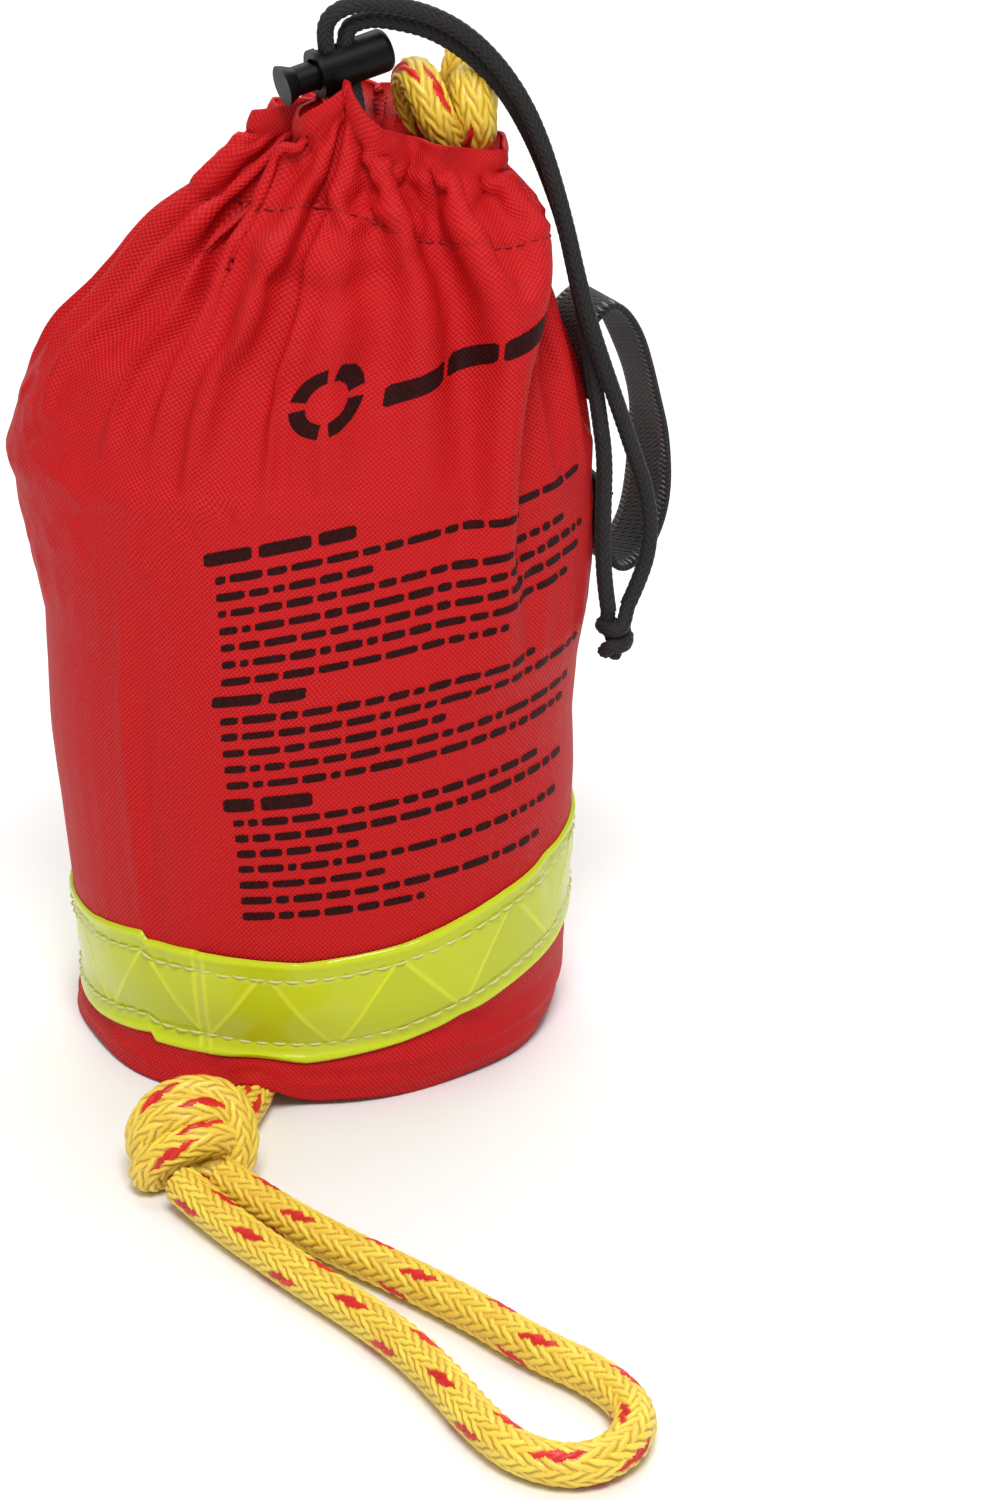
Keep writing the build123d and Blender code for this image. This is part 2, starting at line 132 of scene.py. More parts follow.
class Paint:
    """A node material, built up a call at a time."""

    def __init__(self, name):
        self.material = bpy.data.materials.new(name)
        self.material.use_nodes = True
        self.tree = self.material.node_tree
        self.body = self.tree.nodes["Principled BSDF"]
        self.normal = None

    def join(self, value, socket):
        """Sets a socket to a value, or links it to a node's output."""
        if isinstance(value, bpy.types.NodeSocket):
            self.tree.links.new(value, socket)
        else:
            socket.default_value = value

    def surface(self, colour, **sockets):
        """Sets the base colour, and other shader sockets by name, with _ for a space."""
        self.join(colour, self.body.inputs["Base Color"])
        for name, value in sockets.items():
            self.join(value, self.body.inputs[name.replace("_", " ")])

    def add(self, kind, feeds, output=0, **settings):
        """Adds a node, feeds its sockets, and gives one of its outputs."""
        node = self.tree.nodes.new(kind)
        for key, value in settings.items():
            setattr(node, key, value)
        for socket, value in feeds.items():
            self.join(value, node.inputs[socket])
        return node.outputs[output]

    def object_place(self):
        return self.add("ShaderNodeTexCoord", {}, "Object")

    def uv_place(self):
        return self.add("ShaderNodeTexCoord", {}, "UV")

    def stored(self, name):
        """A number kept on the mesh's points."""
        return self.add("ShaderNodeAttribute", {}, "Fac", attribute_name=name)

    def noise(self, place, scale, detail=2.0, roughness=0.5):
        feeds = {"Vector": place, "Scale": scale, "Detail": detail, "Roughness": roughness}
        return self.add("ShaderNodeTexNoise", feeds, "Fac")

    def math(self, operation, a, b=0.0):
        return self.add("ShaderNodeMath", {0: a, 1: b}, operation=operation)

    def scaled(self, value, times, plus):
        return self.math("ADD", self.math("MULTIPLY", value, times), plus)

    def wave(self, place, period):
        """A sine along a place in metres."""
        return self.math("SINE", self.math("MULTIPLY", place, 2 * pi / period))

    def parts(self, place):
        """The x and y of a place."""
        node = self.tree.nodes.new("ShaderNodeSeparateXYZ")
        self.join(place, node.inputs[0])
        return node.outputs[0], node.outputs[1]

    def stretch(self, place, scale):
        return self.add("ShaderNodeMapping", {"Vector": place, "Scale": scale})

    def blend(self, share, low, high):
        """The colour between low and high at a share from 0 to 1."""
        # the mix node's sockets 6 and 7 and its output 2 are the ones for colours
        return self.add("ShaderNodeMix", {0: share, 6: low, 7: high}, 2, data_type="RGBA")

    def ramp(self, share, low, high):
        """0 below low, 1 above high, smooth between."""
        feeds = {"Value": share, "From Min": low, "From Max": high}
        return self.add("ShaderNodeMapRange", feeds, interpolation_type="SMOOTHSTEP")

    def bump(self, height, strength, distance):
        feeds = {"Strength": strength, "Distance": distance, "Height": height}
        if self.normal is not None:
            feeds["Normal"] = self.normal
        self.normal = self.add("ShaderNodeBump", feeds)
        self.join(self.normal, self.body.inputs["Normal"])


def weave(paint, pitch):
    """How high a plain weave stands, from 0 to 1, over UVs in metres."""
    across, up = paint.parts(paint.uv_place())
    height = paint.math("MULTIPLY", paint.wave(across, pitch), paint.wave(up, pitch))
    return paint.scaled(height, 0.5, 0.5)


def red_fabric():
    paint = Paint("red fabric")
    cells = weave(paint, WEAVE)
    cloudy = paint.noise(paint.object_place(), 28, 3)
    slub = paint.noise(paint.stretch(paint.uv_place(), (260, 2600, 1)), 1.0, 2)
    # painted highlight and shade of the weave: light red where the threads cross on top, dark red in
    # the hollows between them
    thread = paint.blend(cells, (0.27, 0.001, 0.003, 1), (0.74, 0.010, 0.012, 1))
    worn = paint.blend(paint.ramp(cloudy, 0.35, 0.85), thread, (0.52, 0.005, 0.008, 1))
    flecked = paint.blend(paint.math("MULTIPLY", slub, 0.16), worn, (0.86, 0.05, 0.05, 1))
    rough = paint.scaled(cells, -0.12, 0.60)
    paint.surface(flecked, Roughness=rough, Specular_IOR_Level=0.14)
    paint.bump(cells, 0.75, 0.28 * MM)
    paint.bump(slub, 0.12, 0.08 * MM)
    return paint.material


def rope_yarn():
    """Yellow floating rope with red tracer yarns, tinted pick by pick, with painted shade in the
    valleys between the picks.
    """
    paint = Paint("yellow rope")
    fleck = paint.ramp(paint.stored("fleck"), 0.35, 0.65)
    tint = paint.stored("tint")
    depth = paint.stored("depth")
    fibre = paint.noise(paint.object_place(), 2600, 3, 0.6)
    yellow = paint.blend(tint, (0.84, 0.52, 0.025, 1), (0.95, 0.72, 0.055, 1))
    bright = paint.blend(paint.math("MULTIPLY", fibre, 0.35), yellow, (1.0, 0.84, 0.20, 1))
    # painted shade: the yellow darkens to a deep amber where the depth is low, in the valleys between
    # the picks
    shaded = paint.blend(paint.ramp(depth, 0.7, 0.0), bright, (0.46, 0.20, 0.008, 1))
    red = paint.blend(tint, (0.58, 0.008, 0.006, 1), (0.76, 0.018, 0.012, 1))
    paint.surface(paint.blend(fleck, shaded, red), Roughness=0.40, Specular_IOR_Level=0.5,
                  Sheen_Weight=0.05, Subsurface_Weight=0.08, Subsurface_Radius=(0.002, 0.0012, 0.0004))
    paint.bump(fibre, 0.28, 0.12 * MM)
    return paint.material


def packed_yarn():
    paint = Paint("packed rope")
    fibre = paint.noise(paint.object_place(), 420, 2)
    picks = paint.noise(paint.object_place(), 300, 1)
    paint.surface(paint.blend(picks, (0.80, 0.46, 0.03, 1), (0.97, 0.72, 0.09, 1)), Roughness=0.45)
    paint.bump(fibre, 0.6, 0.6 * MM)
    return paint.material


def black_yarn():
    paint = Paint("black drawcord")
    depth = paint.stored("depth")
    fuzz = paint.noise(paint.object_place(), 3200, 3, 0.65)
    # painted shade: the black is darkest in the valleys between the picks and lighter on their crowns
    tone = paint.math("MULTIPLY", paint.ramp(depth, 0.0, 0.9), 0.75)
    light = (0.0264, 0.0252, 0.0252, 1)
    relief_shaded = paint.blend(tone, (0.0030, 0.0029, 0.0031, 1), light)
    fuzzy = paint.blend(paint.math("MULTIPLY", fuzz, 0.3), relief_shaded, light)
    paint.surface(fuzzy, Roughness=0.72, Specular_IOR_Level=0.3, Sheen_Weight=0.12, Sheen_Roughness=0.4)
    paint.bump(fuzz, 0.4, 0.1 * MM)
    return paint.material


def lime_vinyl():
    """Glossy yellow-green vinyl: moulded cells that catch the light one way and another."""
    paint = Paint("lime vinyl")
    facet = paint.stored("facet")
    rim = paint.stored("rim")
    cloudy = paint.noise(paint.object_place(), 55, 2)
    base = paint.blend(facet, (0.40, 0.46, 0.002, 1), (0.72, 0.78, 0.025, 1))
    hazed = paint.blend(paint.ramp(cloudy, 0.45, 0.85), base, (0.56, 0.62, 0.05, 1))
    cells = weave(paint, 1.1 * MM)
    paint.surface(paint.blend(rim, hazed, (0.62, 0.72, 0.004, 1)), Roughness=0.22,
                  Coat_Weight=0.14, Coat_Roughness=0.08, Specular_IOR_Level=0.3)
    paint.bump(cells, 0.05, 0.05 * MM)
    paint.bump(cloudy, 0.15, 1.2 * MM)
    return paint.material


def sewing_thread(name, dark, light):
    paint = Paint(name)
    twist = paint.noise(paint.object_place(), 2400, 2)
    paint.surface(paint.blend(twist, dark, light), Roughness=0.6, Specular_IOR_Level=0.25)
    paint.bump(twist, 0.5, 0.1 * MM)
    return paint.material


def ink():
    """Dark screen ink that sinks between the threads."""
    paint = Paint("screen ink")
    cells = weave(paint, WEAVE)
    patchy = paint.noise(paint.object_place(), 900, 2)
    share = paint.math("MULTIPLY", paint.ramp(patchy, 0.3, 0.8), 0.35)
    dark = paint.blend(cells, (0.030, 0.0015, 0.0015, 1), (0.004, 0.0015, 0.0015, 1))
    worn = paint.blend(share, dark, (0.08, 0.003, 0.003, 1))
    paint.surface(worn, Roughness=0.6, Specular_IOR_Level=0.12)
    paint.bump(cells, 0.5, 0.2 * MM)
    return paint.material


def moulded_plastic():
    paint = Paint("black moulded plastic")
    grain = paint.noise(paint.object_place(), 900, 2)
    scuff = paint.noise(paint.stretch(paint.object_place(), (60, 60, 600)), 3.0, 3)
    tone = paint.ramp(scuff, 0.45, 0.85)
    colour = paint.blend(tone, (0.002, 0.002, 0.0025, 1), (0.006, 0.006, 0.007, 1))
    paint.surface(colour, Roughness=paint.scaled(tone, 0.12, 0.42), Specular_IOR_Level=0.18)
    paint.bump(grain, 0.12, 0.1 * MM)
    return paint.material


def metal(name, dark, light, roughness):
    paint = Paint(name)
    drawn = paint.noise(paint.stretch(paint.object_place(), (1, 1, 12)), 220, 3)
    rough = paint.scaled(drawn, 0.15, roughness)
    paint.surface(paint.blend(drawn, dark, light), Metallic=1.0, Roughness=rough)
    paint.bump(drawn, 0.08, 0.05 * MM)
    return paint.material


def melted_end():
    paint = Paint("melted rope end")
    cloudy = paint.noise(paint.object_place(), 300, 3)
    colour = paint.blend(cloudy, (0.45, 0.17, 0.012, 1), (0.86, 0.52, 0.06, 1))
    paint.surface(colour, Roughness=0.28, Subsurface_Weight=0.15,
                  Subsurface_Radius=(0.002, 0.001, 0.0004))
    paint.bump(cloudy, 0.4, 0.5 * MM)
    return paint.material


def herringbone():
    """Black webbing with ribs that slant one way and then the other, painted darker in their grooves as
    shade, and light edge stitches.
    """
    paint = Paint("black webbing")
    column_wide = 1.7 * MM
    rib_pitch = 1.15 * MM
    across, up = paint.parts(paint.uv_place())
    column = paint.math("PINGPONG", across, column_wide)
    slant = paint.math("MULTIPLY", column, 0.85 / column_wide)
    ribs = paint.wave(paint.scaled(up, 1 / rib_pitch, slant), 1.0)
    ribs = paint.scaled(ribs, 0.5, 0.5)
    fuzz = paint.noise(paint.object_place(), 2600, 3, 0.6)
    edge = paint.stored("edge")
    # painted shade: the ribs' grooves darker and their crowns lighter
    relief_shaded = paint.blend(ribs, (0.0015, 0.0015, 0.002, 1), (0.022, 0.021, 0.021, 1))
    fuzzy = paint.blend(paint.math("MULTIPLY", fuzz, 0.30), relief_shaded, (0.040, 0.038, 0.038, 1))
    dots = paint.math("MULTIPLY", paint.ramp(paint.wave(up, 1.3 * MM), 0.3, 0.9), edge)
    paint.surface(paint.blend(dots, fuzzy, (0.30, 0.29, 0.27, 1)), Roughness=0.68,
                  Specular_IOR_Level=0.3, Sheen_Weight=0.1)
    paint.bump(ribs, 0.7, 0.35 * MM)
    paint.bump(fuzz, 0.3, 0.1 * MM)
    return paint.material


# Mesh helpers -------------------------------------------------------------------------------


def make_object(name, points, faces, material, body="bag"):
    mesh = bpy.data.meshes.new(name)
    mesh.from_pydata([tuple(p) for p in points], [], faces)
    mesh.validate()
    mesh.polygons.foreach_set("use_smooth", [True] * len(mesh.polygons))
    mesh.materials.append(material)
    thing = place_object(name, mesh)
    if body:
        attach(thing, body)
    return thing


def store(thing, name, values):
    kept = thing.data.attributes.new(name, "FLOAT", "POINT")
    kept.data.foreach_set("value", np.asarray(values, np.float32).ravel())


def store_uv(thing, places):
    """UVs, in metres, from one place per point."""
    layer = thing.data.uv_layers.new(name="cloth")
    corners = np.empty(len(thing.data.loops), int)
    thing.data.loops.foreach_get("vertex_index", corners)
    layer.data.foreach_set("uv", np.asarray(places, np.float32)[corners].ravel())


def grid_faces(rows, columns, closed):
    """Quads over points listed row by row. A closed grid joins its last column to the first."""
    last = columns if closed else columns - 1
    faces = []
    for row in range(rows - 1):
        for column in range(last):
            beside = (column + 1) % columns
            low, high = row * columns, (row + 1) * columns
            faces.append((low + column, low + beside, high + beside, high + column))
    return faces


def make_band(name, grid, material):
    """A band that closes on itself, from rows of points in mm."""
    rows, columns = grid.shape[:2]
    return make_object(name, grid.reshape(-1, 3) * MM, grid_faces(rows, columns, True), material)


def unit(vectors):
    return vectors / np.maximum(np.linalg.norm(vectors, axis=-1, keepdims=True), 1e-12)


def bump_at(place, middle, wide):
    """A rounded bump: 1 at its middle, and next to nothing at twice its width away."""
    return np.exp(-((place - middle) / wide) ** 2)


def run_along(line):
    """How far along a line each of its points is."""
    return np.r_[0, np.cumsum(np.linalg.norm(np.diff(line, axis=0), axis=1))]


def place_curve(name, points, resolution):
    """A NURBS curve with these control points, in mm."""
    curve = bpy.data.curves.new(name, "CURVE")
    curve.dimensions = "3D"
    curve.resolution_u = resolution
    spline = curve.splines.new("NURBS")
    spline.points.add(len(points) - 1)
    for spot, point in zip(spline.points, points):
        spot.co = (point[0] * MM, point[1] * MM, point[2] * MM, 1)
    spline.order_u = 3
    spline.use_endpoint_u = True
    return place_object(name, curve)


def spline_line(points, spacing):
    """Evenly spaced places, in metres, along the NURBS line with these control points, in mm."""
    holder = place_curve("line", points, 24)
    bpy.context.view_layer.update()
    mesh = bpy.data.meshes.new_from_object(holder)
    line = np.array([v.co for v in mesh.vertices])
    # the object goes with its curve
    bpy.data.curves.remove(holder.data)
    bpy.data.meshes.remove(mesh)
    steps = np.linalg.norm(np.diff(line, axis=0), axis=1)
    line = line[np.r_[True, steps > 1e-9]]
    run = run_along(line)
    even = np.linspace(0, run[-1], max(int(round(run[-1] / spacing)), 4) + 1)
    return np.column_stack([np.interp(even, run, line[:, axis]) for axis in range(3)])


def travel(line):
    """(sides, ups) across a line, turned as little as possible from place to place."""
    ahead = unit(np.gradient(line, axis=0))
    side = unit(np.cross(ahead[0], (0.1, 0.2, 1.0)))
    sides = [side]
    for direction in ahead[1:]:
        side = unit(side - direction * (side @ direction))
        sides.append(side)
    sides = np.array(sides)
    return sides, np.cross(ahead, sides)


def line_length(line):
    return float(np.linalg.norm(np.diff(line, axis=0), axis=1).sum())


def braid(name, line, radius, columns, pitch, relief, material, fleck_every=0.0, start=0.0,
          around=72, taper=0.0):
    """A braided cord along a line: columns of slanting picks that lean one way and then the other.

    A pick is one float of a yarn over the braid. Pairs of red picks come every fleck_every metres.
    """
    sides, ups = travel(line)
    run = run_along(line) + start
    turn = np.arange(around) * 2 * pi / around
    column_at = np.repeat((turn / (2 * pi) * columns)[None, :], len(line), 0)
    # the ends of the picks reach a little way between those of the column beside
    reach = 0.17 * np.cos(2 * pi * run / pitch)[:, None]
    column = np.floor(column_at).astype(int)
    swell = np.where(column % 2 == 0, reach, -reach)
    column = column - (column_at - column < -swell) + (column_at - column > 1 + swell)
    swell = np.where(column % 2 == 0, reach, -reach)
    across = (column_at - column + swell) / (1 + 2 * swell) * 2 - 1
    column = column % columns
    lean = np.where(column % 2 == 0, 0.5, -0.5)
    along = run[:, None] / pitch + 0.5 * (column % 2) + lean * across
    pick = np.floor(along).astype(int)
    place = (along - pick) * 2 - 1
    height = (1 - np.abs(place) ** 2.4) * (0.5 + 0.5 * (1 - across ** 2))
    wide = radius * (1 - relief + relief * height)
    if taper:
        ends = np.minimum(run - run[0], run[-1] - run)
        wide = wide * np.sqrt(np.clip(ends / taper, 0.02, 1))[:, None]
    round_x = np.cos(turn)[None, :, None] * sides[:, None, :]
    round_y = np.sin(turn)[None, :, None] * ups[:, None, :]
    points = line[:, None, :] + wide[:, :, None] * (round_x + round_y)
    rows = len(line)
    flat = list(points.reshape(-1, 3)) + [line[0], line[-1]]
    faces = grid_faces(rows, around, True)
    for place_at in range(around):
        beside = (place_at + 1) % around
        faces.append((rows * around, beside, place_at))
        last = (rows - 1) * around
        faces.append((rows * around + 1, last + place_at, last + beside))
    thing = make_object(name, flat, faces, material)
    # an even scatter from 0 to 1, with one value for each pick
    tone = np.sin(pick * 12.9898 + column * 78.233) * 43758.5453
    tone = tone - np.floor(tone)
    red = np.zeros_like(tone)
    if fleck_every:
        # the columns with a red yarn, and how many picks later each shows it
        every = int(round(fleck_every / pitch))
        for first, later in ((0, 2), (2, 0), (5, 6), (8, 4), (10, 8)):
            hit = (column == first) & ((pick - later) % every < 2)
            red[hit] = 1
    ends = [0.0, 0.0]
    store(thing, "fleck", np.r_[red.ravel(), ends])
    store(thing, "tint", np.r_[tone.ravel(), ends])
    # how high each point stands on its pick; the yarn materials turn it into painted shade in the
    # valleys between the picks
    store(thing, "depth", np.r_[np.clip(height, 0, 1).ravel(), ends])
    return thing


def stitches(name, node, seams, radius, material):
    """Short rounded stitches for a CAD node. Each is (start, end, out), out being off the cloth."""
    points = []
    faces = []
    sides, rings = 6, 5
    for start, end, out in seams:
        ahead = unit(end - start)
        side = unit(np.cross(ahead, out))
        first = len(points)
        for ring in range(rings):
            share = ring / (rings - 1)
            arch = sin(pi * share)
            middle = start + (end - start) * share + out * radius * (1.5 * arch - 0.5)
            wide = radius * (0.35 + 0.65 * sqrt(max(arch, 0)))
            for corner in range(sides):
                turn = corner * 2 * pi / sides
                points.append(middle + side * wide * cos(turn) + out * wide * 0.8 * sin(turn))
        for face in grid_faces(rings, sides, True):
            faces.append(tuple(first + corner for corner in face))
        faces.append(tuple(first + corner for corner in reversed(range(sides))))
        faces.append(tuple(first + (rings - 1) * sides + corner for corner in range(sides)))
    sewn = make_object(name, points, faces, material)
    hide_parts(node)


# Cords ----------------------------------------------------------------------------------------

ROPE_D = 9.2 * MM
CORD_D = 4.0 * MM

# Each route's control points, in mm, as the CAD has them
TAIL_ROUTE = [
    (0, 0, 24), (0, 0, 14.6), (-1.6, -10, 4.6), (-5.2, -26, 4.6), (-9.5, -42, 4.6),
    (-12, -57, 4.6), (-15, -71, 4.7), (-19.5, -83, 5.5),
]
LOOP_ROUTE = [
    (-26, -104, 6.0), (-18.5, -114.5, 4.8), (-9.5, -126.5, 4.6), (2, -141, 4.6), (14, -155, 4.6),
    (25, -169.5, 4.6), (33, -184, 4.6), (39.5, -198, 4.6), (48, -210.5, 4.6), (59.5, -214.5, 4.6),
    (69, -207, 4.6), (71.5, -194, 4.6), (64, -181, 4.6), (51, -170, 4.6), (38, -155, 4.6),
    (23.5, -141, 4.6), (8, -127.5, 4.6), (-6.5, -112.5, 4.8), (-17, -101, 6.0),
]
LONG_ROUTE = [
    (7.6, -15.6, 213.4), (8.4, -10.8, 218.2), (8.0, -6.7, 223.8), (5.2, -8.0, 237.9),
    (6.4, -9.8, 243.4), (12.5, -8.8, 246), (20.5, -7.2, 245.2), (29, -5.6, 242.6),
    (36.5, -4.2, 238), (43.3, -3, 231), (49, -3.2, 222.5), (53, -3.6, 213.5), (56, -4, 204),
    (58.8, -4.5, 193.5), (61.2, -6, 183), (64.0, -7.2, 172.5), (67.6, -7.8, 161.5),
    (71.2, -5.8, 150.5), (74.4, -2.5, 140), (77.6, -0.8, 130), (78.8, -0.8, 120),
    (77.2, -2, 110.5), (73.4, -4.2, 102.8),
]
SHORT_ROUTE = [
    (12.6, -15.2, 213.4), (13.0, -9.9, 218.7), (11.8, -4.9, 224.7), (8.95, -6.24, 239.0),
    (14.5, -5, 241.6), (21.5, -3.6, 240.4), (29, -2, 238), (36.5, -0.4, 232.8), (42.8, 1, 226.4),
    (47.6, 1.8, 219.2), (51.8, 1.2, 211), (55, 0.6, 203), (58.3, 0.2, 193.5), (60.6, -1.2, 183),
    (62.9, -2.8, 172.5), (64.6, -3.4, 162), (66.2, -4.2, 151), (67.8, -5.6, 140),
    (67.6, -5.7, 129), (67.5, -5.9, 118), (68.1, -6.4, 108.5), (69.0, -6.6, 102.5),
]


def rope(name, line, yarn, start=0.0):
    piece = braid(name, line, ROPE_D / 2, 12, 3.6 * MM, 0.17, yarn, fleck_every=36 * MM, start=start)
    return piece


def small_cord(name, line, yarn, radius=CORD_D / 2, relief=0.22, **extra):
    piece = braid(name, line, radius, 8, 1.9 * MM, relief, yarn, **extra)
    return piece


def knot_line(centre, tilt, turns, spacing):
    """A line through a knot.

    Each turn's point is right, up and towards the front of the knot's centre, on axes that lean
    back by tilt degrees.
    """
    lean = radians(tilt)
    right = np.array([1.0, 0, 0])
    up = np.array([0, sin(lean), cos(lean)])
    front = np.array([0, -cos(lean), sin(lean)])
    spots = [np.array(centre) + right * a + up * b + front * c for a, b, c in turns]
    return spline_line([tuple(spot) for spot in spots], spacing)


def make_mouth_knot(yarn, melted):
    """The stopper knot in the rope's upper end, standing in the mouth of the bag."""
    centre = (32.0, 4.4, 219.5)
    turns = [
        (3, -24, -6), (1, -14, -6), (-3.5, -7, -5.5), (-7.5, 0, -4.5), (-8.5, 5.5, -1), (-6.6, 7.0, 3),
        (-4.2, 2.0, 5.6), (-2.0, -3.8, 5.0), (0.6, -7.6, 0.5), (3.5, -6.6, -5), (7.2, 0, -5.5),
        (7.0, 4.5, -1.5), (4.6, 5.8, 2.6), (5.8, 1.2, 5.0), (7.0, -3.6, 4.0), (6.2, -7.8, 0),
        (2.5, -8.0, -4.5), (0.5, -1.5, -6.0), (2.2, 5.0, -5.0), (3.8, 10.5, -4.6), (4.4, 14.0, -4.8),
    ]
    knot = rope("mouth_knot_rope", knot_line(centre, 15, turns, 0.5 * MM), yarn, start=4 * MM)
    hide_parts("mouth_knot")
    tip = knot_line(centre, 15, [(4.2, 13.4, -4.8), (4.5, 15.0, -4.8), (4.7, 16.6, -4.8)], 0.3 * MM)
    seal = braid("mouth_knot_sealed_end", tip, 4.35 * MM, 12, 2.5 * MM, 0.05, melted,
                 taper=2.0 * MM, around=36)


def make_loop_knot(yarn):
    """An overhand knot tied in the doubled rope, pulled down hard."""
    centre = (-25.0, -92.0, 10.0)
    turns = {
        "ring": [(0, -10, -3), (6.5, -9.5, -1), (10.4, -4.5, 0.5), (11.2, 2, 0.5), (9.0, 8.2, 0),
                 (3.2, 11.0, 0), (-3.8, 9.8, 0), (-9.0, 5.6, -1.0), (-11.0, -0.5, -2.5),
                 (-8.0, -5.0, -4.0)],
        "upper": [(-6.5, -5.0, -3.0), (-10.6, -2.0, 0.5), (-7.8, 3.2, 4.2), (-2.0, 6.0, 5.6),
                  (3.6, 6.6, 4.2), (6.6, 4.0, 0.5), (5.0, 0, -3.0)],
        "lower": [(-5.0, -10.5, -3.5), (-9.2, -9.0, -0.5), (-8.6, -4.6, 4.0), (-2.6, -1.2, 6.2),
                  (3.6, 1.2, 6.0), (7.6, 1.0, 2.6), (7.0, -3.5, -1.5), (3.0, -6.0, -3.0)],
        "tail": [(4.0, 1.0, -3.5), (5.0, 4.5, -4.2), (5.4, 8.0, -4.8), (5.6, 11.0, -5.4)],
    }
    pieces = []
    for number, (name, turn) in enumerate(turns.items()):
        line = knot_line(centre, 28, turn, 0.5 * MM)
        line[:, 2] = np.maximum(line[:, 2], 4.4 * MM)
        pieces.append(rope(f"loop_knot_{name}", line, yarn, start=(7 + 9 * number) * MM))
    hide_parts("loop_knot")
    return pieces


def make_cord_knot(yarn):
    """The two drawcord tails tied together, with short ends below."""
    centre = (70.4, -6.0, 97.0)
    turns = {
        "wrap": [(3.65, 7.4, 0.4), (3.0, 5.8, 0.4), (2.4, 3.0, 2.0), (1.6, 0.6, 3.0),
                 (-1.2, 0.4, 3.2), (-3.0, 1.6, 1.0), (-2.2, 2.4, -2.2), (1.6, 1.0, -3.0),
                 (3.2, -1.4, -0.6), (1.8, -3.4, 2.6), (-1.6, -3.2, 2.8), (-2.8, -5.2, 0.6)],
        "core": [(-1.5, 6.6, 2.6), (-1.5, 4.8, 2.2), (-1.6, 2.4, 1.0), (-0.8, -0.5, 0.6),
                 (0.8, -3.5, -0.2), (-0.6, -6.4, 0)],
    }
    pieces = []
    for name, turn in turns.items():
        line = knot_line(centre, 20, turn, 0.35 * MM)
        pieces.append(small_cord(f"drawcord_knot_{name}", line, yarn, radius=1.85 * MM,
                                 around=40, taper=0.8 * MM))
    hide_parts("drawcord_knot")
    return pieces


def packed_line():
    """The rope's way up through the bag, in mm: spirals out and in, each layer on the one below."""
    form = np.array(rope_form())
    thick = ROPE_D / MM
    clear = thick / 2 + 1.2
    spots = [(0, 0, 24), (-2.4, -3.5, 25), (-2.6, -8, 26.5), (0.3, -15.3, 28.5), (6.9, -20.2, 30.3),
             (15.4, -19.7, 31.3)]
    lowest, highest, layer_rise, per_turn = 31.5, 181.0, 8.35, 16
    layers = int((highest - lowest) / layer_rise)
    turn = -0.6
    for layer in range(layers):
        height = lowest + layer * layer_rise
        middle = height + thick / 2
        left, right, depth = [np.interp(middle, form[:, 0], form[:, side]) for side in (1, 2, 3)]
        wide = (right - left) / 2 - clear
        deep = depth - clear
        core = 25.0 if layer == 0 else min(15.0, deep * 0.55)
        turns = max(0.8, (deep - core) / (thick * 1.01))
        count = int(turns * per_turn)
        for step in range(count):
            share = step / count
            out = share if layer % 2 == 0 else 1 - share
            reach = (core + (deep - core) * out) / deep
            climb = layer_rise * max(0.0, (share - 1 + 0.5 / turns) * turns / 0.5) ** 2
            spots.append(((left + right) / 2 + wide * reach * cos(turn) + dice.uniform(-0.4, 0.4),
                          deep * reach * sin(turn) + dice.uniform(-0.4, 0.4), height + climb))
            turn += 2 * pi / per_turn
    way_out = [
        (40, -5, 172.3), (40, 4.5, 172.8), (36, 12.5, 173.4), (28.5, 17.5, 174.4), (18, 19, 175),
        (7, 17.5, 176), (-3, 12, 177), (-7.5, 3, 178), (-4.5, -6.5, 179.2), (5, -11.5, 180.8),
        (15, -9.5, 183), (23, -5, 186.5), (29, 0.5, 191.5), (31.5, 4.4, 200),
    ]
    return spots + way_out


def make_packed_rope(yarn):
    """The rest of the rope, flaked down inside the bag."""
    spots = packed_line()
    coils = place_curve("packed_rope_coils", spots, 2)
    coils.data.bevel_depth = ROPE_D / 2 * 0.985
    coils.data.bevel_resolution = 3
    coils.data.materials.append(yarn)
    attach(coils, "bag")
    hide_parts("packed_rope")
    length = line_length(spline_line(spots, 2 * MM))


def make_cords():
    """Every rope and cord with its knots."""
    yarn = rope_yarn()
    black = black_yarn()
    make_mouth_knot(yarn, melted_end())
    loop_pieces = make_loop_knot(yarn)
    cord_knot = make_cord_knot(black)

    tail = spline_line(TAIL_ROUTE, 0.5 * MM)
    piece = rope("tail_rope", tail, yarn)
    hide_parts("tail_run")

    loop = spline_line(LOOP_ROUTE, 0.45 * MM)
    piece = rope("hand_loop_rope", loop, yarn, start=3 * MM)
    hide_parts("hand_loop")

    for name, node, route in (("drawcord_outer", "drawcord_long", LONG_ROUTE),
                              ("drawcord_inner", "drawcord_short", SHORT_ROUTE)):
        line = spline_line(route, 0.4 * MM)
        piece = small_cord(name, line, black, around=48)
        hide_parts(node)
    make_packed_rope(packed_yarn())
    return black


# Bag ------------------------------------------------------------------------------------------

GIRTH = 364.0  # mm round the fabric tube
TALL = 222.0  # mm up the fabric, from the floor to the lip of the mouth
SEAM_U = 103.0  # mm round from the front to the side seam
COLUMNS = 122
ROWS = 75
FINER = 3
CASING = 23.0  # mm of hem turned in at the mouth
CLOTH = 0.9  # mm through the fabric and its coating

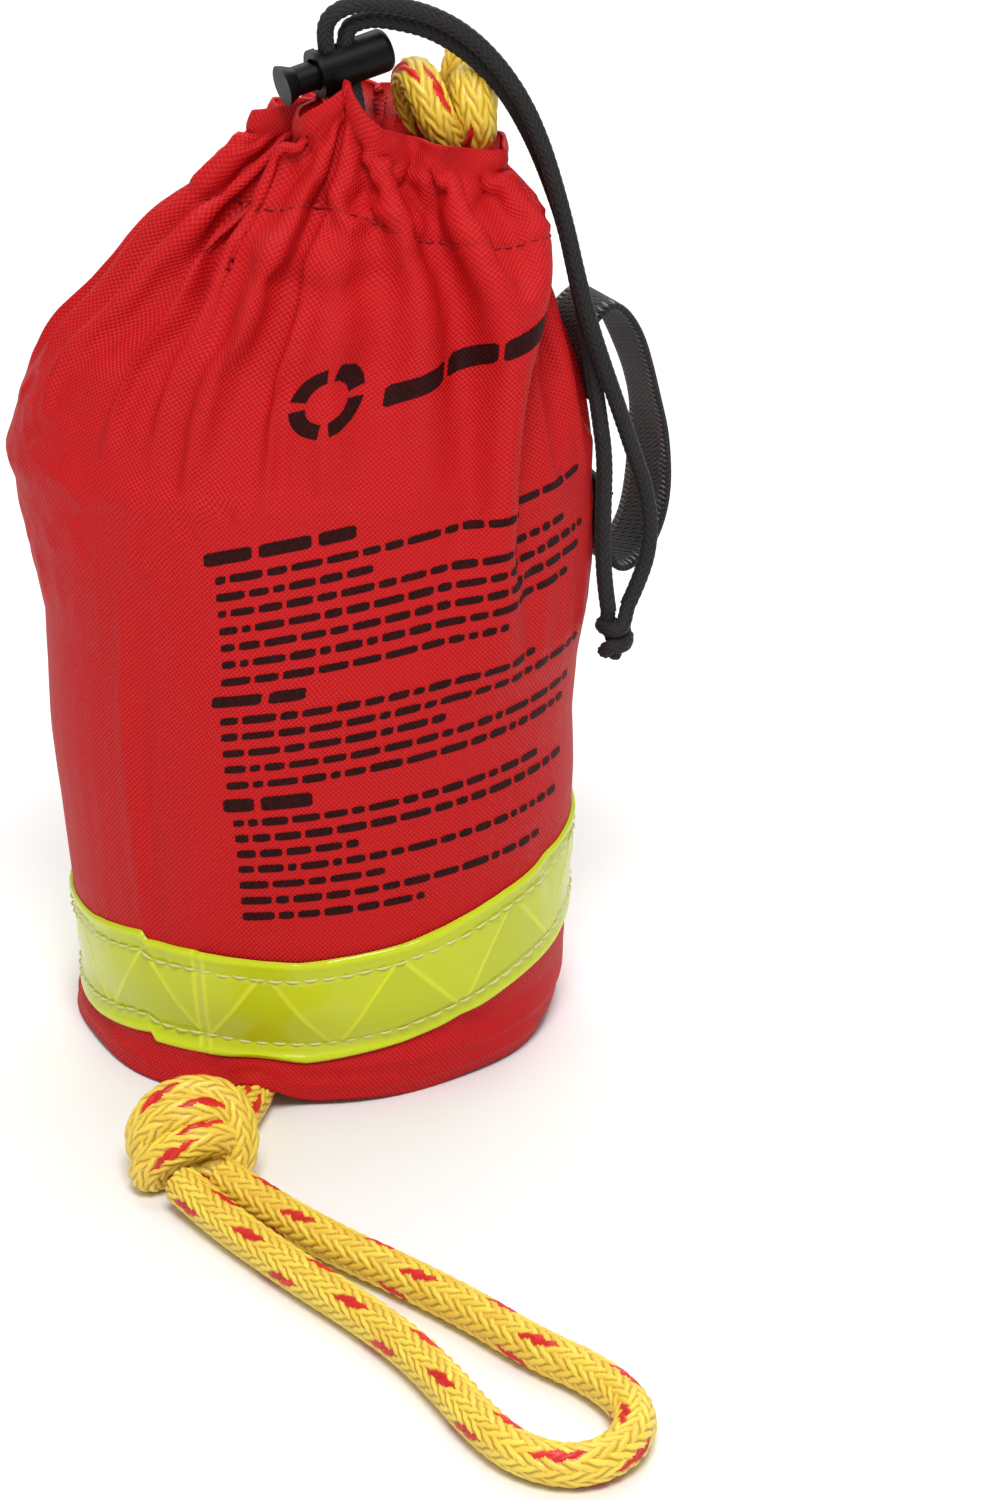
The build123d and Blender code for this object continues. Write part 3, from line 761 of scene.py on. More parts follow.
# The bag's outline: height, left and right at the widest, half depth
PROFILE = np.array([
    (0, -57.0, 56.5, 56.5), (9, -56.0, 59.0, 56.8), (25, -57.4, 59.8, 57.5), (41, -58.7, 60.4, 57),
    (62, -60.3, 61.2, 56), (77, -61.3, 61.2, 55), (92, -61.6, 62.6, 54.2), (103, -62.2, 64.8, 53.5),
    (113, -64.3, 65.6, 52), (127, -66.4, 65.4, 50), (142, -68.8, 65.2, 48.3), (152, -67.8, 63.9, 47),
    (161, -65.1, 62.0, 46), (171, -59.6, 59.0, 44), (180, -50.9, 56.5, 42), (190, -42.6, 55.5, 38),
    (199, -34.0, 54.0, 33.5), (205, -28.0, 51.0, 29.5), (212, -19.5, 44.0, 23.5),
])

# The lip of the mouth: degrees round from the right, height
LIP = np.array([(-180, 219), (-160, 224), (-140, 221), (-122, 227), (-112, 230.5), (-102, 227),
                (-88, 221), (-70, 218.5), (-45, 216), (-20, 213), (0, 211.5), (30, 213), (60, 217),
                (90, 221), (120, 221), (150, 219), (180, 219)], float)


def profile(height):
    return [np.interp(height, PROFILE[:, 0], PROFILE[:, column]) for column in (1, 2, 3)]


def round_oval(left, right, depth, shares):
    """Places round an oval, at equal shares of its girth. Share 0 is the front and 0.25 the right."""
    turn = np.linspace(-pi / 2, 3 * pi / 2, 721)
    x = (left + right) / 2 + (right - left) / 2 * np.cos(turn)
    y = depth * np.sin(turn)
    return along_ring(x, y, shares)


def along_ring(x, y, shares):
    """Places at shares of the way round a closed line."""
    run = np.r_[0, np.cumsum(np.hypot(np.diff(x), np.diff(y)))]
    want = (shares % 1.0) * run[-1]
    return np.interp(want, run, x), np.interp(want, run, y)


RING_AT = (17.5, 0.5)  # the drawn mouth's middle, right and back
RING_REACH = (28.0, 22.0)
# Pleats round the mouth: degrees from the right to each crest, and how deep the valley after it is
PLEATS = [(-178, 14.0), (-124, 6.5), (-92, 6.0), (-62, 2.5), (-20, 1.5), (22, 7.0), (58, 12.0),
          (82, 13.0), (104, 13.0), (126, 13.0), (148, 6.0)]


def mouth_spot(turn, inward):
    """A place on the mouth's oval, or inward of it, at an angle from the right."""
    x = RING_AT[0] + (RING_REACH[0] - inward) * np.cos(turn)
    y = RING_AT[1] + (RING_REACH[1] - inward) * np.sin(turn)
    return x, y


def pleat_valleys():
    """(angles, depths) of the valleys between the pleats."""
    crests = np.radians([angle for angle, _ in PLEATS])
    after = np.r_[crests[1:], crests[0] + 2 * pi]
    return (crests + after) / 2, np.array([depth for _, depth in PLEATS])


def gathered_ring(shares):
    """The lip drawn up on its cord: an oval ring thrown into deep uneven pleats."""
    share = np.linspace(0, 1, 2881)
    turn = -pi / 2 + 2 * pi * share
    crests = np.radians([angle for angle, _ in PLEATS])
    middle, depths = pleat_valleys()
    # mm inward at each crest and valley, over the turn before, this one and the one after
    once = np.r_[crests, middle]
    levels = np.r_[np.zeros(len(crests)), depths]
    knots = np.r_[once - 2 * pi, once, once + 2 * pi]
    levels = np.r_[levels, levels, levels]
    order = np.argsort(knots)
    knots, levels = knots[order], levels[order]
    place = np.searchsorted(knots, turn) - 1
    part = (turn - knots[place]) / (knots[place + 1] - knots[place])
    ease = part * part * (3 - 2 * part)
    inward = levels[place] + (levels[place + 1] - levels[place]) * ease
    leaning = turn + 0.10 * np.sin(turn * 9 + 1.0) * np.clip(inward / 6, 0, 1)
    x, y = mouth_spot(leaning, inward)
    ring_x, ring_y = along_ring(x, y, shares)
    angle = np.degrees(np.arctan2(ring_y - RING_AT[1], ring_x - RING_AT[0]))
    return ring_x, ring_y, np.interp(angle, LIP[:, 0], LIP[:, 1])


def cloth_shapes():
    """(laid up straight, drawn in) points of the fabric tube, in mm, row by row from the floor up."""
    shares = (np.arange(COLUMNS) / COLUMNS * GIRTH + SEAM_U) / GIRTH
    up = np.linspace(0, TALL, ROWS)
    straight = np.zeros((ROWS, COLUMNS, 3))
    drawn = np.zeros((ROWS, COLUMNS, 3))
    ring_x, ring_y, lip = gathered_ring(shares)
    shoulder = 138.0  # mm up to where the tube starts to draw in
    lean = 8.0  # mm right that the straight tube reaches by its top
    for row, rise in enumerate(up):
        left, right, depth = profile(min(rise, shoulder))
        x, y = round_oval(left, right, depth, shares)
        # the share of the way from the shoulder to the lip
        over = max(0.0, rise - shoulder) / (TALL - shoulder)
        straight[row] = np.column_stack([x + lean * over, y, np.full(COLUMNS, rise)])
        left, right, depth = profile(rise)
        oval_x, oval_y = round_oval(left, right, depth, shares)
        share = min(1.0, max(0.0, (over - 0.15) / 0.85)) ** 1.6
        drawn[row] = np.column_stack([
            oval_x + (ring_x - oval_x) * share,
            oval_y + (ring_y - oval_y) * share,
            np.where(over > 0, shoulder + (lip - shoulder) * over, rise),
        ])
    lift, push = hem_wave(shares)
    near_floor = np.clip(1 - up / 11.0, 0, 1)[:, None]
    for shape in (straight, drawn):
        away = unit(shape[:1, :, :2])
        shape[:, :, 2] += lift[None, :] * near_floor
        shape[:, :, :2] += away * (push[None, :] * near_floor)[:, :, None]
    return straight, drawn


def hem_wave(shares):
    """How far the bottom hem lifts and is pushed out: draped over the rope, and in small waves."""
    from_front = (shares % 1.0) * GIRTH
    from_front = np.where(from_front > GIRTH / 2, from_front - GIRTH, from_front)
    over_rope = bump_at(from_front, -12.5, 7.6)
    waves = 0.6 + 0.6 * np.sin(from_front / 7.5 + 0.6) * np.sin(from_front / 29.0 + 1.1)
    swell = 1.3 * np.sin(from_front / 13.0 + 2.0) * np.sin(from_front / 21.0)
    return 9.6 * over_rope + waves, 9.5 * over_rope + swell


def rope_form():
    """The outline of the rope packed inside: (height, left, right, half depth), from the bottom up."""
    form = []
    for height, inset in ((22, 1.5), (40, 1.3), (70, 1.3), (100, 1.3), (128, 1.4), (142, 2.5)):
        left, right, depth = profile(height)
        form.append((height, left + inset, right - inset, depth - inset))
    form += [(154, -59, 57, 40), (166, -49, 51, 34), (177, -35, 44, 26), (185, -17, 37, 17),
             (189, -1, 25, 7)]
    return form


SETTLING = 0.01  # from mm to the size at which the fabric settles, ten times the real one


def rope_fill():
    """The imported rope's outline as a solid, for the fabric to rest on while it settles."""
    rings = rope_form()
    count = 72
    shares = np.arange(count) / count
    points = []
    for height, left, right, depth in rings:
        x, y = round_oval(left, right, depth, shares)
        points += list(np.column_stack([x, y, np.full(count, float(height))]) * SETTLING)
    faces = grid_faces(len(rings), count, True)
    points += [(0, 0, 0.22), (0.12, 0, 1.90)]
    top = (len(rings) - 1) * count
    for corner in range(count):
        beside = (corner + 1) % count
        faces.append((len(points) - 2, beside, corner))
        faces.append((len(points) - 1, top + corner, top + beside))
    mesh = bpy.data.meshes.new("fill")
    mesh.from_pydata([tuple(p) for p in points], [], faces)
    fill = place_object("fill", mesh)
    fill.modifiers.new("hit", "COLLISION")
    fill.collision.thickness_outer = 0.006
    fill.collision.cloth_friction = 8
    return fill


def settle(straight, drawn, frames=64):
    """Draws the mouth in and lets the fabric settle, large so that its plies stay apart."""
    mesh = bpy.data.meshes.new("settling")
    mesh.from_pydata([tuple(p) for p in straight.reshape(-1, 3) * SETTLING], [],
                     grid_faces(ROWS, COLUMNS, True))
    cloth = place_object("settling", mesh)
    cloth.shape_key_add(name="straight")
    pulled = cloth.shape_key_add(name="drawn")
    pulled.data.foreach_set("co", (drawn.reshape(-1, 3) * SETTLING).ravel())
    for frame_at, value in ((1, 0.0), (int(frames * 0.62), 1.0), (frames, 1.0)):
        pulled.value = value
        pulled.keyframe_insert("value", frame=frame_at)
    # the hem and the lip are held, and the rest is free
    held = cloth.vertex_groups.new(name="held")
    held_rows = [*range(5), *range(ROWS - 3, ROWS)]
    spots = [row * COLUMNS + column for row in held_rows for column in range(COLUMNS)]
    held.add(spots, 1.0, "REPLACE")
    fill = rope_fill()
    cloth_mod = cloth.modifiers.new("cloth", "CLOTH")
    rules = {
        "quality": 7, "mass": 0.25, "air_damping": 3.0, "tension_stiffness": 25,
        "compression_stiffness": 25, "shear_stiffness": 8, "bending_stiffness": 3.5,
        "tension_damping": 15, "compression_damping": 15, "shear_damping": 10,
        "bending_damping": 1.0, "vertex_group_mass": "held", "pin_stiffness": 1.0,
    }
    for key, value in rules.items():
        setattr(cloth_mod.settings, key, value)
    cloth_mod.settings.effector_weights.gravity = 0.35
    hits = {"collision_quality": 2, "distance_min": 0.006, "use_self_collision": True,
            "self_distance_min": 0.010, "self_friction": 6}
    for key, value in hits.items():
        setattr(cloth_mod.collision_settings, key, value)
    cloth_mod.point_cache.frame_start = 1
    cloth_mod.point_cache.frame_end = frames
    scene = bpy.context.scene
    scene.frame_start, scene.frame_end = 1, frames
    for frame_at in range(1, frames + 1):
        scene.frame_set(frame_at)
    settled = cloth.evaluated_get(bpy.context.evaluated_depsgraph_get()).to_mesh()
    found = np.array([v.co for v in settled.vertices]).reshape(ROWS, COLUMNS, 3) / SETTLING
    action = mesh.shape_keys.animation_data.action
    for thing in (cloth, fill):
        bpy.data.objects.remove(thing)
    bpy.data.meshes.remove(mesh)
    bpy.data.actions.remove(action)
    scene.frame_set(1)
    return found


def fit_outline(points):
    """Eases each height's left, right and depth to the bag's outline, keeping the folds."""
    fitted = points.copy()
    levels = np.arange(14, 206, 4.0)
    found = []
    flat = points.reshape(-1, 3)
    # the fabric's left, right, front and back near each level
    for level in levels:
        near = flat[np.abs(flat[:, 2] - level) < 4.0]
        found.append((near[:, 0].min(), near[:, 0].max(), near[:, 1].min(), near[:, 1].max()))
    found = np.array(found)
    kernel = np.array([1, 2, 3, 2, 1]) / 9.0
    for column in range(4):
        padded = np.pad(found[:, column], 2, mode="edge")
        found[:, column] = np.convolve(padded, kernel, "valid")
    height = np.clip(points[:, :, 2], levels[0], levels[-1])
    left, right, front, back = [np.interp(height, levels, found[:, c]) for c in range(4)]
    goal_left, goal_right, goal_depth = profile(height)
    share = (points[:, :, 0] - left) / (right - left)
    new_x = goal_left + share * (goal_right - goal_left)
    share = (points[:, :, 1] - front) / (back - front)
    new_y = -goal_depth + share * 2 * goal_depth
    fade = np.clip((212 - points[:, :, 2]) / 14.0, 0, 1)
    fade = fade * np.clip((points[:, :, 2] - 9) / 7.0, 0, 1)
    fitted[:, :, 0] += (new_x - points[:, :, 0]) * fade
    fitted[:, :, 1] += (new_y - points[:, :, 1]) * fade
    return fitted


def refine(values, times, closed):
    """Catmull-Rom values between the rows of an array, times to each step."""
    count = len(values)
    if closed:
        place = np.arange(count * times) / times
    else:
        place = np.arange((count - 1) * times + 1) / times
    base = np.floor(place).astype(int)
    part = (place - base).reshape(-1, *([1] * (values.ndim - 1)))

    def pick(shift):
        spot = base + shift
        return values[spot % count] if closed else values[np.clip(spot, 0, count - 1)]

    a, b, c, d = pick(-1), pick(0), pick(1), pick(2)
    return 0.5 * (2 * b + (c - a) * part + (2 * a - 5 * b + 4 * c - d) * part ** 2
                  + (3 * b - a - 3 * c + d) * part ** 3)


class Fabric:
    """The settled fabric as a fine grid: rows up from the floor, columns round from the side seam."""

    def __init__(self, coarse):
        fine = refine(coarse, FINER, False)
        fine = refine(fine.transpose(1, 0, 2), FINER, True).transpose(1, 0, 2)
        self.points = fine
        self.rows, self.columns = fine.shape[:2]
        self.up = np.linspace(0, TALL, self.rows)
        self.row_rise = TALL / (self.rows - 1)
        self.round = SEAM_U - GIRTH + np.arange(self.columns) / self.columns * GIRTH
        self.refresh()

    def refresh(self):
        ahead = np.roll(self.points, -1, axis=1) - np.roll(self.points, 1, axis=1)
        rise = np.gradient(self.points, axis=0)
        self.normals = unit(np.cross(ahead, rise))

    def push(self, amount):
        self.points = self.points + self.normals * amount[:, :, None]
        self.refresh()

    def at_grid(self, row, column, out):
        """(places, normals) at fractional rows and columns, out from the fabric."""
        row, column, out = np.broadcast_arrays(row, column, out)
        column = column % self.columns
        row = np.clip(row, 0, self.rows - 1.001)
        r = np.floor(row).astype(int)
        c = np.floor(column).astype(int)
        pr = (row - r)[..., None]
        pc = (column - c)[..., None]
        beside = (c + 1) % self.columns
        spots = []
        for grid in (self.points, self.normals):
            low = grid[r, c] * (1 - pc) + grid[r, beside] * pc
            high = grid[r + 1, c] * (1 - pc) + grid[r + 1, beside] * pc
            spots.append(low * (1 - pr) + high * pr)
        normal = unit(spots[1])
        return spots[0] + normal * out[..., None], normal

    def column_of(self, round_at):
        return (np.asarray(round_at, float) - (SEAM_U - GIRTH)) / GIRTH * self.columns

    def row_of_height(self, round_at, height):
        """The row at which the fabric reaches a height, at a place round the bag."""
        column = np.round(self.column_of(round_at)).astype(int) % self.columns
        rows = []
        for c, level in zip(np.ravel(column), np.ravel(height)):
            heights = np.maximum.accumulate(self.points[:, c, 2])
            rows.append(np.interp(level, heights, np.arange(self.rows)))
        return np.array(rows).reshape(np.shape(height))

    def at(self, round_at, height, out):
        """(places, normals) at mm round from the front and mm above the floor."""
        round_at, height = np.broadcast_arrays(np.asarray(round_at, float), np.asarray(height, float))
        return self.at_grid(self.row_of_height(round_at, height), self.column_of(round_at), out)

    def stitch(self, ends, up, proud):
        """A stitch's (start, end, out), from its ends in mm round from the front and up the fabric."""
        spots, normals = self.at_grid(up / self.row_rise, self.column_of(ends), proud)
        return spots[0] * MM, spots[1] * MM, normals[0]


def ridge(across, up, line, wide, tall):
    """A ridge, or with a negative height a crease, along (across, up) points, fading at its ends."""
    line = np.array(line, float)
    nearest = np.full(up.shape, 1e9)
    share = np.zeros(up.shape)
    total = np.linalg.norm(np.diff(line, axis=0), axis=1)
    begun = np.r_[0, np.cumsum(total)]
    for index, (a, b) in enumerate(zip(line, line[1:])):
        step = b - a
        t = np.clip(((across - a[0]) * step[0] + (up - a[1]) * step[1]) / (step @ step), 0, 1)
        away = np.hypot(across - a[0] - t * step[0], up - a[1] - t * step[1])
        closer = away < nearest
        nearest = np.where(closer, away, nearest)
        share = np.where(closer, (begun[index] + t * total[index]) / begun[-1], share)
    ends = np.sin(pi * np.clip(share, 0.02, 0.98)) ** 0.6
    return tall * ends * bump_at(nearest, 0, wide)


# Folds on the front of the shoulder: (x, z) in mm along each, its width, and how far out it stands
SHOULDER_FOLDS = [
    ([(2, 222), (0, 216), (-4, 211), (-9, 207), (-14, 201), (-17, 194), (-18, 184), (-18, 172)],
     4.2, -3.0),
    ([(-8, 216), (-13, 211), (-20, 205), (-24, 196), (-26, 184)], 5.0, 1.8),
    ([(5, 212), (8, 206), (12, 202), (15, 202), (17, 204), (20, 204), (25, 200), (31, 193)], 2.2, 2.0),
    ([(10, 209), (12, 205.5), (16, 207)], 2.6, -2.4),
    ([(3, 211), (5, 205), (9, 199), (14, 198)], 2.6, -1.7),
    ([(-15, 196), (-11, 192), (0, 189), (11, 189), (20, 191), (26, 195), (28, 200)], 3.4, -1.8),
    ([(-12, 199), (0, 194), (10, 194)], 4.5, 1.2),
    ([(17, 222), (23, 217), (31, 214), (40, 212)], 3.2, -2.2),
    ([(18, 218), (21, 213), (22, 208)], 2.4, 1.4),
    ([(34, 206), (40, 196), (46, 184)], 5.0, 1.2),
    ([(-20, 176), (-6, 168), (12, 170), (26, 178)], 5.0, -1.0),
]


# Folds round the body: (mm round from the front, mm up) along each, its width, how far out it stands
BODY_FOLDS = [
    ([(-46, 118), (-44, 80), (-43, 52), (-41, 30)], 2.2, 0.9),
    ([(-39, 112), (-38.5, 76), (-38, 52), (-37, 34)], 2.6, -0.6),
    ([(30, 168), (40, 150), (46, 128)], 7.0, 0.9),
    ([(-60, 150), (-52, 132), (-50, 112)], 6.0, -0.8),
    ([(60, 60), (66, 48), (70, 36)], 4.0, -0.7),
    ([(30, 22), (44, 12), (62, 9)], 3.0, -0.8),
]


def sculpt(fabric):
    """Creases and ridges that the settled fabric has where it was folded, sewn and handled."""
    in_front = np.clip(-2.5 * fabric.normals[:, :, 1], 0, 1)
    amount = np.zeros(in_front.shape)
    for line, wide, tall in SHOULDER_FOLDS:
        amount += ridge(fabric.points[:, :, 0], fabric.points[:, :, 2], line, wide, tall) * in_front
    fabric.push(amount)
    around, up = np.meshgrid(fabric.round, fabric.up)
    amount = np.zeros_like(up)
    for line, wide, tall in BODY_FOLDS:
        amount += ridge(around, up, line, wide, tall)
    lumps = np.sin(around / 17.0 + 0.6 * np.sin(up / 23.0)) * np.sin(up / 19.0 + around / 41.0)
    amount += 0.35 * lumps * np.clip((up - 30) / 30, 0, 1) * np.clip((190 - up) / 40, 0, 1)
    # the casing stands proud above its stitches, and the mouth's lip and the hem are rounded
    seam_line = TALL - CASING
    amount += 0.5 / (1 + np.exp(-(up - seam_line) / 0.8)) - 0.45 * bump_at(up, seam_line, 1.0)
    amount += bump_at(up, TALL - 3.0, 3.2) + 0.5 * bump_at(up, 4.0, 1.2) - 0.4 * bump_at(up, 7.5, 1.0)
    fabric.push(amount)


def give_thickness(thing, offset):
    """Makes a cloth as thick as it is: inward with an offset of -1, and both ways with 0."""
    plies = thing.modifiers.new("plies", "SOLIDIFY")
    plies.thickness = CLOTH * MM
    plies.offset = offset


def make_bag():
    """The red fabric tube: drawn in and settled, eased to the outline, refined and creased."""
    straight, drawn = cloth_shapes()
    coarse = settle(straight, drawn)
    fabric = Fabric(fit_outline(coarse))
    sculpt(fabric)
    red = red_fabric()
    bag = make_band("bag_fabric", fabric.points, red)
    step_u = np.append(fabric.round, fabric.round[0] + GIRTH)
    # a quad's own corners, so that the weave runs on over the side seam
    corners = []
    for low, high in zip(fabric.up, fabric.up[1:]):
        for near, far in zip(step_u, step_u[1:]):
            corners += [(near, low), (far, low), (far, high), (near, high)]
    layer = bag.data.uv_layers.new(name="cloth")
    layer.data.foreach_set("uv", (np.array(corners) * MM).astype(np.float32).ravel())
    give_thickness(bag, -1)
    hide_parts("bag_body", "side_seam")
    return fabric, red


# Trim ------------------------------------------------------------------------------------------

# The tape's lower edge: mm round from the front, mm up the fabric
TAPE_EDGE = np.array([(-182, 14), (-140, 10), (-110, 7.5), (-85, 6.5), (-64, 7.5), (-47, 10.2),
                      (-42, 11.2), (-40.5, 9.6), (-25, 10.4), (-2, 10.6), (21, 13.9), (48, 20.3),
                      (75, 25), (98, 26.5), (125, 24), (150, 19), (182, 14)], float)
TAPE_W = 25.4
TAPE_SEAM = 4.5  # from each edge of the tape to its row of stitches
LAP_AT = -26.0  # mm round from the front to where the tape's end is lapped


def tape_weld(round_at, rise):
    """How near a place is to a weld line, 1 on the line, and the tone of its cell.

    Slanting lines make the cells, and two upright ones hold the tape's lapped end.
    """
    period = 31.0  # mm round from one pair of slanting lines to the next
    leg = 12.5  # mm round that one slanting line takes
    inset = 5.0  # mm in from the tape's edges to the ends of the slanting lines
    rim = 4.4  # mm in from the tape's edges to its flat face
    place = (round_at + 9.0) % period
    inner = (rise - inset) / (TAPE_W - 2 * inset)
    falling = leg * (1 - inner)
    rising = period - leg - 3.0 + leg * inner
    near = np.minimum(np.abs(place - falling), np.abs(place - rising))
    # painted light: the cells on one side of a slanting line and on the other get different tones, as
    # they catch the light differently
    tone = np.where((place < falling) | (place > rising), 0.36, 0.50)
    on_face = (rise > rim) & (rise < TAPE_W - rim)
    weld = np.where(on_face, bump_at(near, 0, 0.42), 0.0)
    for upright, strength in ((LAP_AT - 1.6, 0.8), (LAP_AT + 1.1, 0.6)):
        weld = np.maximum(weld, strength * bump_at(round_at, upright, 0.5))
    return weld, np.where(on_face, tone, 0.45)


def tape_edge(around):
    """How far up the fabric the tape's lower edge is, at mm round from the front."""
    from_front = (around + GIRTH / 2) % GIRTH - GIRTH / 2
    return np.interp(from_front, TAPE_EDGE[:, 0], TAPE_EDGE[:, 1])


def make_tape(fabric, vinyl):
    """The band lying on the fabric, with raised rims, weld lines, a lapped end and its stitches."""
    around = np.arange(SEAM_U - GIRTH, SEAM_U, 0.5)
    edge_steps = [0, 0.25, 0.8, 1.6, 2.2, 3.0]
    far_steps = [TAPE_W - step for step in reversed(edge_steps)]
    across = np.array([*edge_steps, *np.arange(3.8, TAPE_W - 3.6, 0.45), *far_steps])
    rows = tape_edge(around)[None, :] / fabric.row_rise + across[:, None] / fabric.row_rise
    grid_around = np.repeat(around[None, :], len(across), 0)
    rise = np.repeat(across[:, None], len(around), 1)
    weld, tone = tape_weld(grid_around, rise)
    edge = np.minimum(rise, TAPE_W - rise)
    rim = bump_at(edge, 1.1, 0.75)
    out = 0.55 + 0.55 * rim + 0.22 * weld - 0.25 * bump_at(edge, TAPE_SEAM, 0.5)
    out = np.where(edge < 0.2, 0.1, out)
    past_end = np.clip((grid_around - LAP_AT) / 0.3, -60, 60)
    lap = 0.45 / (1 + np.exp(-past_end)) * (grid_around < 60)
    out = out + lap * np.clip((60 - grid_around) / 60, 0, 1)
    ripple = 0.25 * np.sin(grid_around / 6.3) * np.sin(grid_around / 14.7 + rise / 8.0)
    out = out + np.where(edge < 0.2, 0, ripple)
    points, _ = fabric.at_grid(rows, fabric.column_of(grid_around), out)
    tape = make_band("reflective_band", points, vinyl)
    store_uv(tape, np.column_stack([grid_around.ravel(), rise.ravel()]) * MM)
    store(tape, "facet", np.clip(tone + 0.8 * weld, 0, 1))
    store(tape, "rim", np.clip(rim, 0, 1))
    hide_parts("reflective_tape")

    seams = []
    pitch, long = 4.1, 3.8
    for inset in (TAPE_SEAM, TAPE_W - TAPE_SEAM):
        for begin in np.arange(SEAM_U - GIRTH + 1, SEAM_U - 4.5, pitch):
            ends = np.array([begin, begin + long])
            up = tape_edge(ends) + inset + dice.uniform(-0.2, 0.2)
            seams.append(fabric.stitch(ends, up, 0.75))
    thread = sewing_thread("tape thread", (0.50, 0.52, 0.10, 1), (0.80, 0.80, 0.42, 1))
    stitches("tape_stitches", "tape_stitching", seams, 0.34 * MM, thread)


def make_hem_stitches(fabric):
    seams = []
    pitch, long = 3.0, 2.3
    for begin in np.arange(SEAM_U - GIRTH + 1, SEAM_U - 3, pitch):
        seams.append(fabric.stitch(np.array([begin, begin + long]), TALL - CASING, 0.1))
    thread = sewing_thread("red thread", (0.22, 0.003, 0.005, 1), (0.50, 0.02, 0.02, 1))
    stitches("hem_stitches", "hem_stitching", seams, 0.28 * MM, thread)


class Print:
    """Patches of ink on the fabric, gathered into one mesh."""

    def __init__(self, fabric):
        self.fabric = fabric
        self.points = []
        self.faces = []
        self.places = []

    def patch(self, rows):
        """A patch with rows of places, each row (mm round from the front, mm up)."""
        first = len(self.points)
        for around, level in rows:
            spots, _ = self.fabric.at(around, level, 0.14)
            self.points += list(spots * MM)
            self.places += list(np.column_stack([around, level]) * MM)
        for face in grid_faces(len(rows), len(rows[0][0]), False):
            self.faces.append(tuple(first + corner for corner in face))

    def bar(self, begin, end, line, tall):
        """A rounded bar along a line of print, which is (start, height, slope)."""
        start, height, slope = line
        count = max(3, int((end - begin) / 0.9) + 1)
        around = np.linspace(begin, end, count)
        share = np.linspace(-1, 1, count)
        corner = np.minimum(1.0, (1 - np.abs(share)) * (end - begin) / tall * 1.5 + 0.72)
        run = around - start
        middle = height + slope * run - 0.00075 * run ** 2
        self.patch([(around, middle + side * tall * corner) for side in (-0.5, -0.17, 0.17, 0.5)])

    def words(self, line, stop, tall, shortest, longest, gap):
        """Bars of uneven length along a line of print, up to where it stops."""
        at = line[0]
        while at < stop - shortest:
            length = min(dice.uniform(shortest, longest), stop - at)
            self.bar(at, at + length, line, tall * dice.uniform(0.9, 1.1))
            at += length + gap


# Lines of print: height in front, where the line stops, and for a title how tall it is
PRINT_LINES = [
    (130.6, 12, 2.9), (126.2, 76), (122.3, 13), (118.6, 70), (114.7, 76), (110.9, 74), (107.1, 70),
    (103.2, 44), (98.3, 2, 2.6), (94.0, 56), (90.2, 76), (86.4, 34), (82.6, 74), (78.8, 73),
    (73.9, 10, 3.0), (69.9, 62), (66.2, 74), (62.5, 12), (58.8, 70), (55.0, 20), (51.2, 62), (47.4, 27),
]


def make_print(fabric, dark_ink):
    """Printed matter in plain bars: a ring and a title above, then blocks of small lines."""
    sheet = Print(fabric)
    for height, stop, *title in PRINT_LINES:
        slope = float(np.interp(height, [45, 80, 105, 130], [0.115, 0.16, 0.20, 0.235]))
        margin = float(np.interp(height, [47, 74, 98, 118, 131], [-16.6, -18.0, -21.5, -23.0, -24.5]))
        if title:
            sheet.words((margin, height, slope), stop, title[0], 7, 13, 1.6)
        else:
            sheet.words((margin + 1.8, height, slope), stop, 1.75, 1.8, 7.5, 1.0)

    # a plain ring in four parts, and three bold bars beside it
    ring_at, ring_up = 1.0, 166.0
    for quarter in range(4):
        turns = np.radians(np.linspace(quarter * 90 + 9, quarter * 90 + 81, 13))
        rows = []
        for reach in (4.6, 5.7, 6.8, 8.0):
            around = ring_at + reach * np.cos(turns)
            rows.append((around, ring_up + reach * np.sin(turns) * 0.95 + 0.22 * (around - ring_at)))
        sheet.patch(rows)
    for begin, end in ((13, 25), (26.2, 38), (39.2, 51)):
        sheet.bar(begin, end, (13.0, 165.5, 0.40), 4.6)
    printed = make_object("printed_bars", sheet.points, sheet.faces, dark_ink)
    store_uv(printed, np.array(sheet.places))


def make_base(fabric, red):
    """The sewn-in bottom: a disc of fabric that sags a little, turned up at its sewn edge."""
    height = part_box("base_panel")[0][2] / MM
    bore = (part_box("base_eyelet")[1][0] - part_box("base_eyelet")[0][0]) / 2 / MM * 0.66
    count = 96
    around = np.linspace(SEAM_U - GIRTH, SEAM_U, count + 1)[:-1]
    rim, _ = fabric.at(around, height, -1.2)
    grid = []
    # shares of the way out from the middle
    for share in (1.0, 0.985, 0.96, 0.9, 0.8, 0.65, 0.5, 0.35, 0.22):
        ring = rim * share
        sag = -1.4 * (1 - share ** 2) * share ** 2 * 3
        ring[:, 2] = height + 0.6 + sag
        grid.append(ring)
    grid[0][:, 2] += 2.0
    start = atan2(rim[0, 1], rim[0, 0])
    turn = start + np.linspace(0, 2 * pi, count + 1)[:-1]
    level = np.full(count, height + 0.6)
    grid.append(np.column_stack([bore * np.cos(turn), bore * np.sin(turn), level]))
    points = np.array(grid)
    disc = make_band("base_fabric", points, red)
    store_uv(disc, points.reshape(-1, 3)[:, :2] * MM)
    give_thickness(disc, 0)
    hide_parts("base_panel")


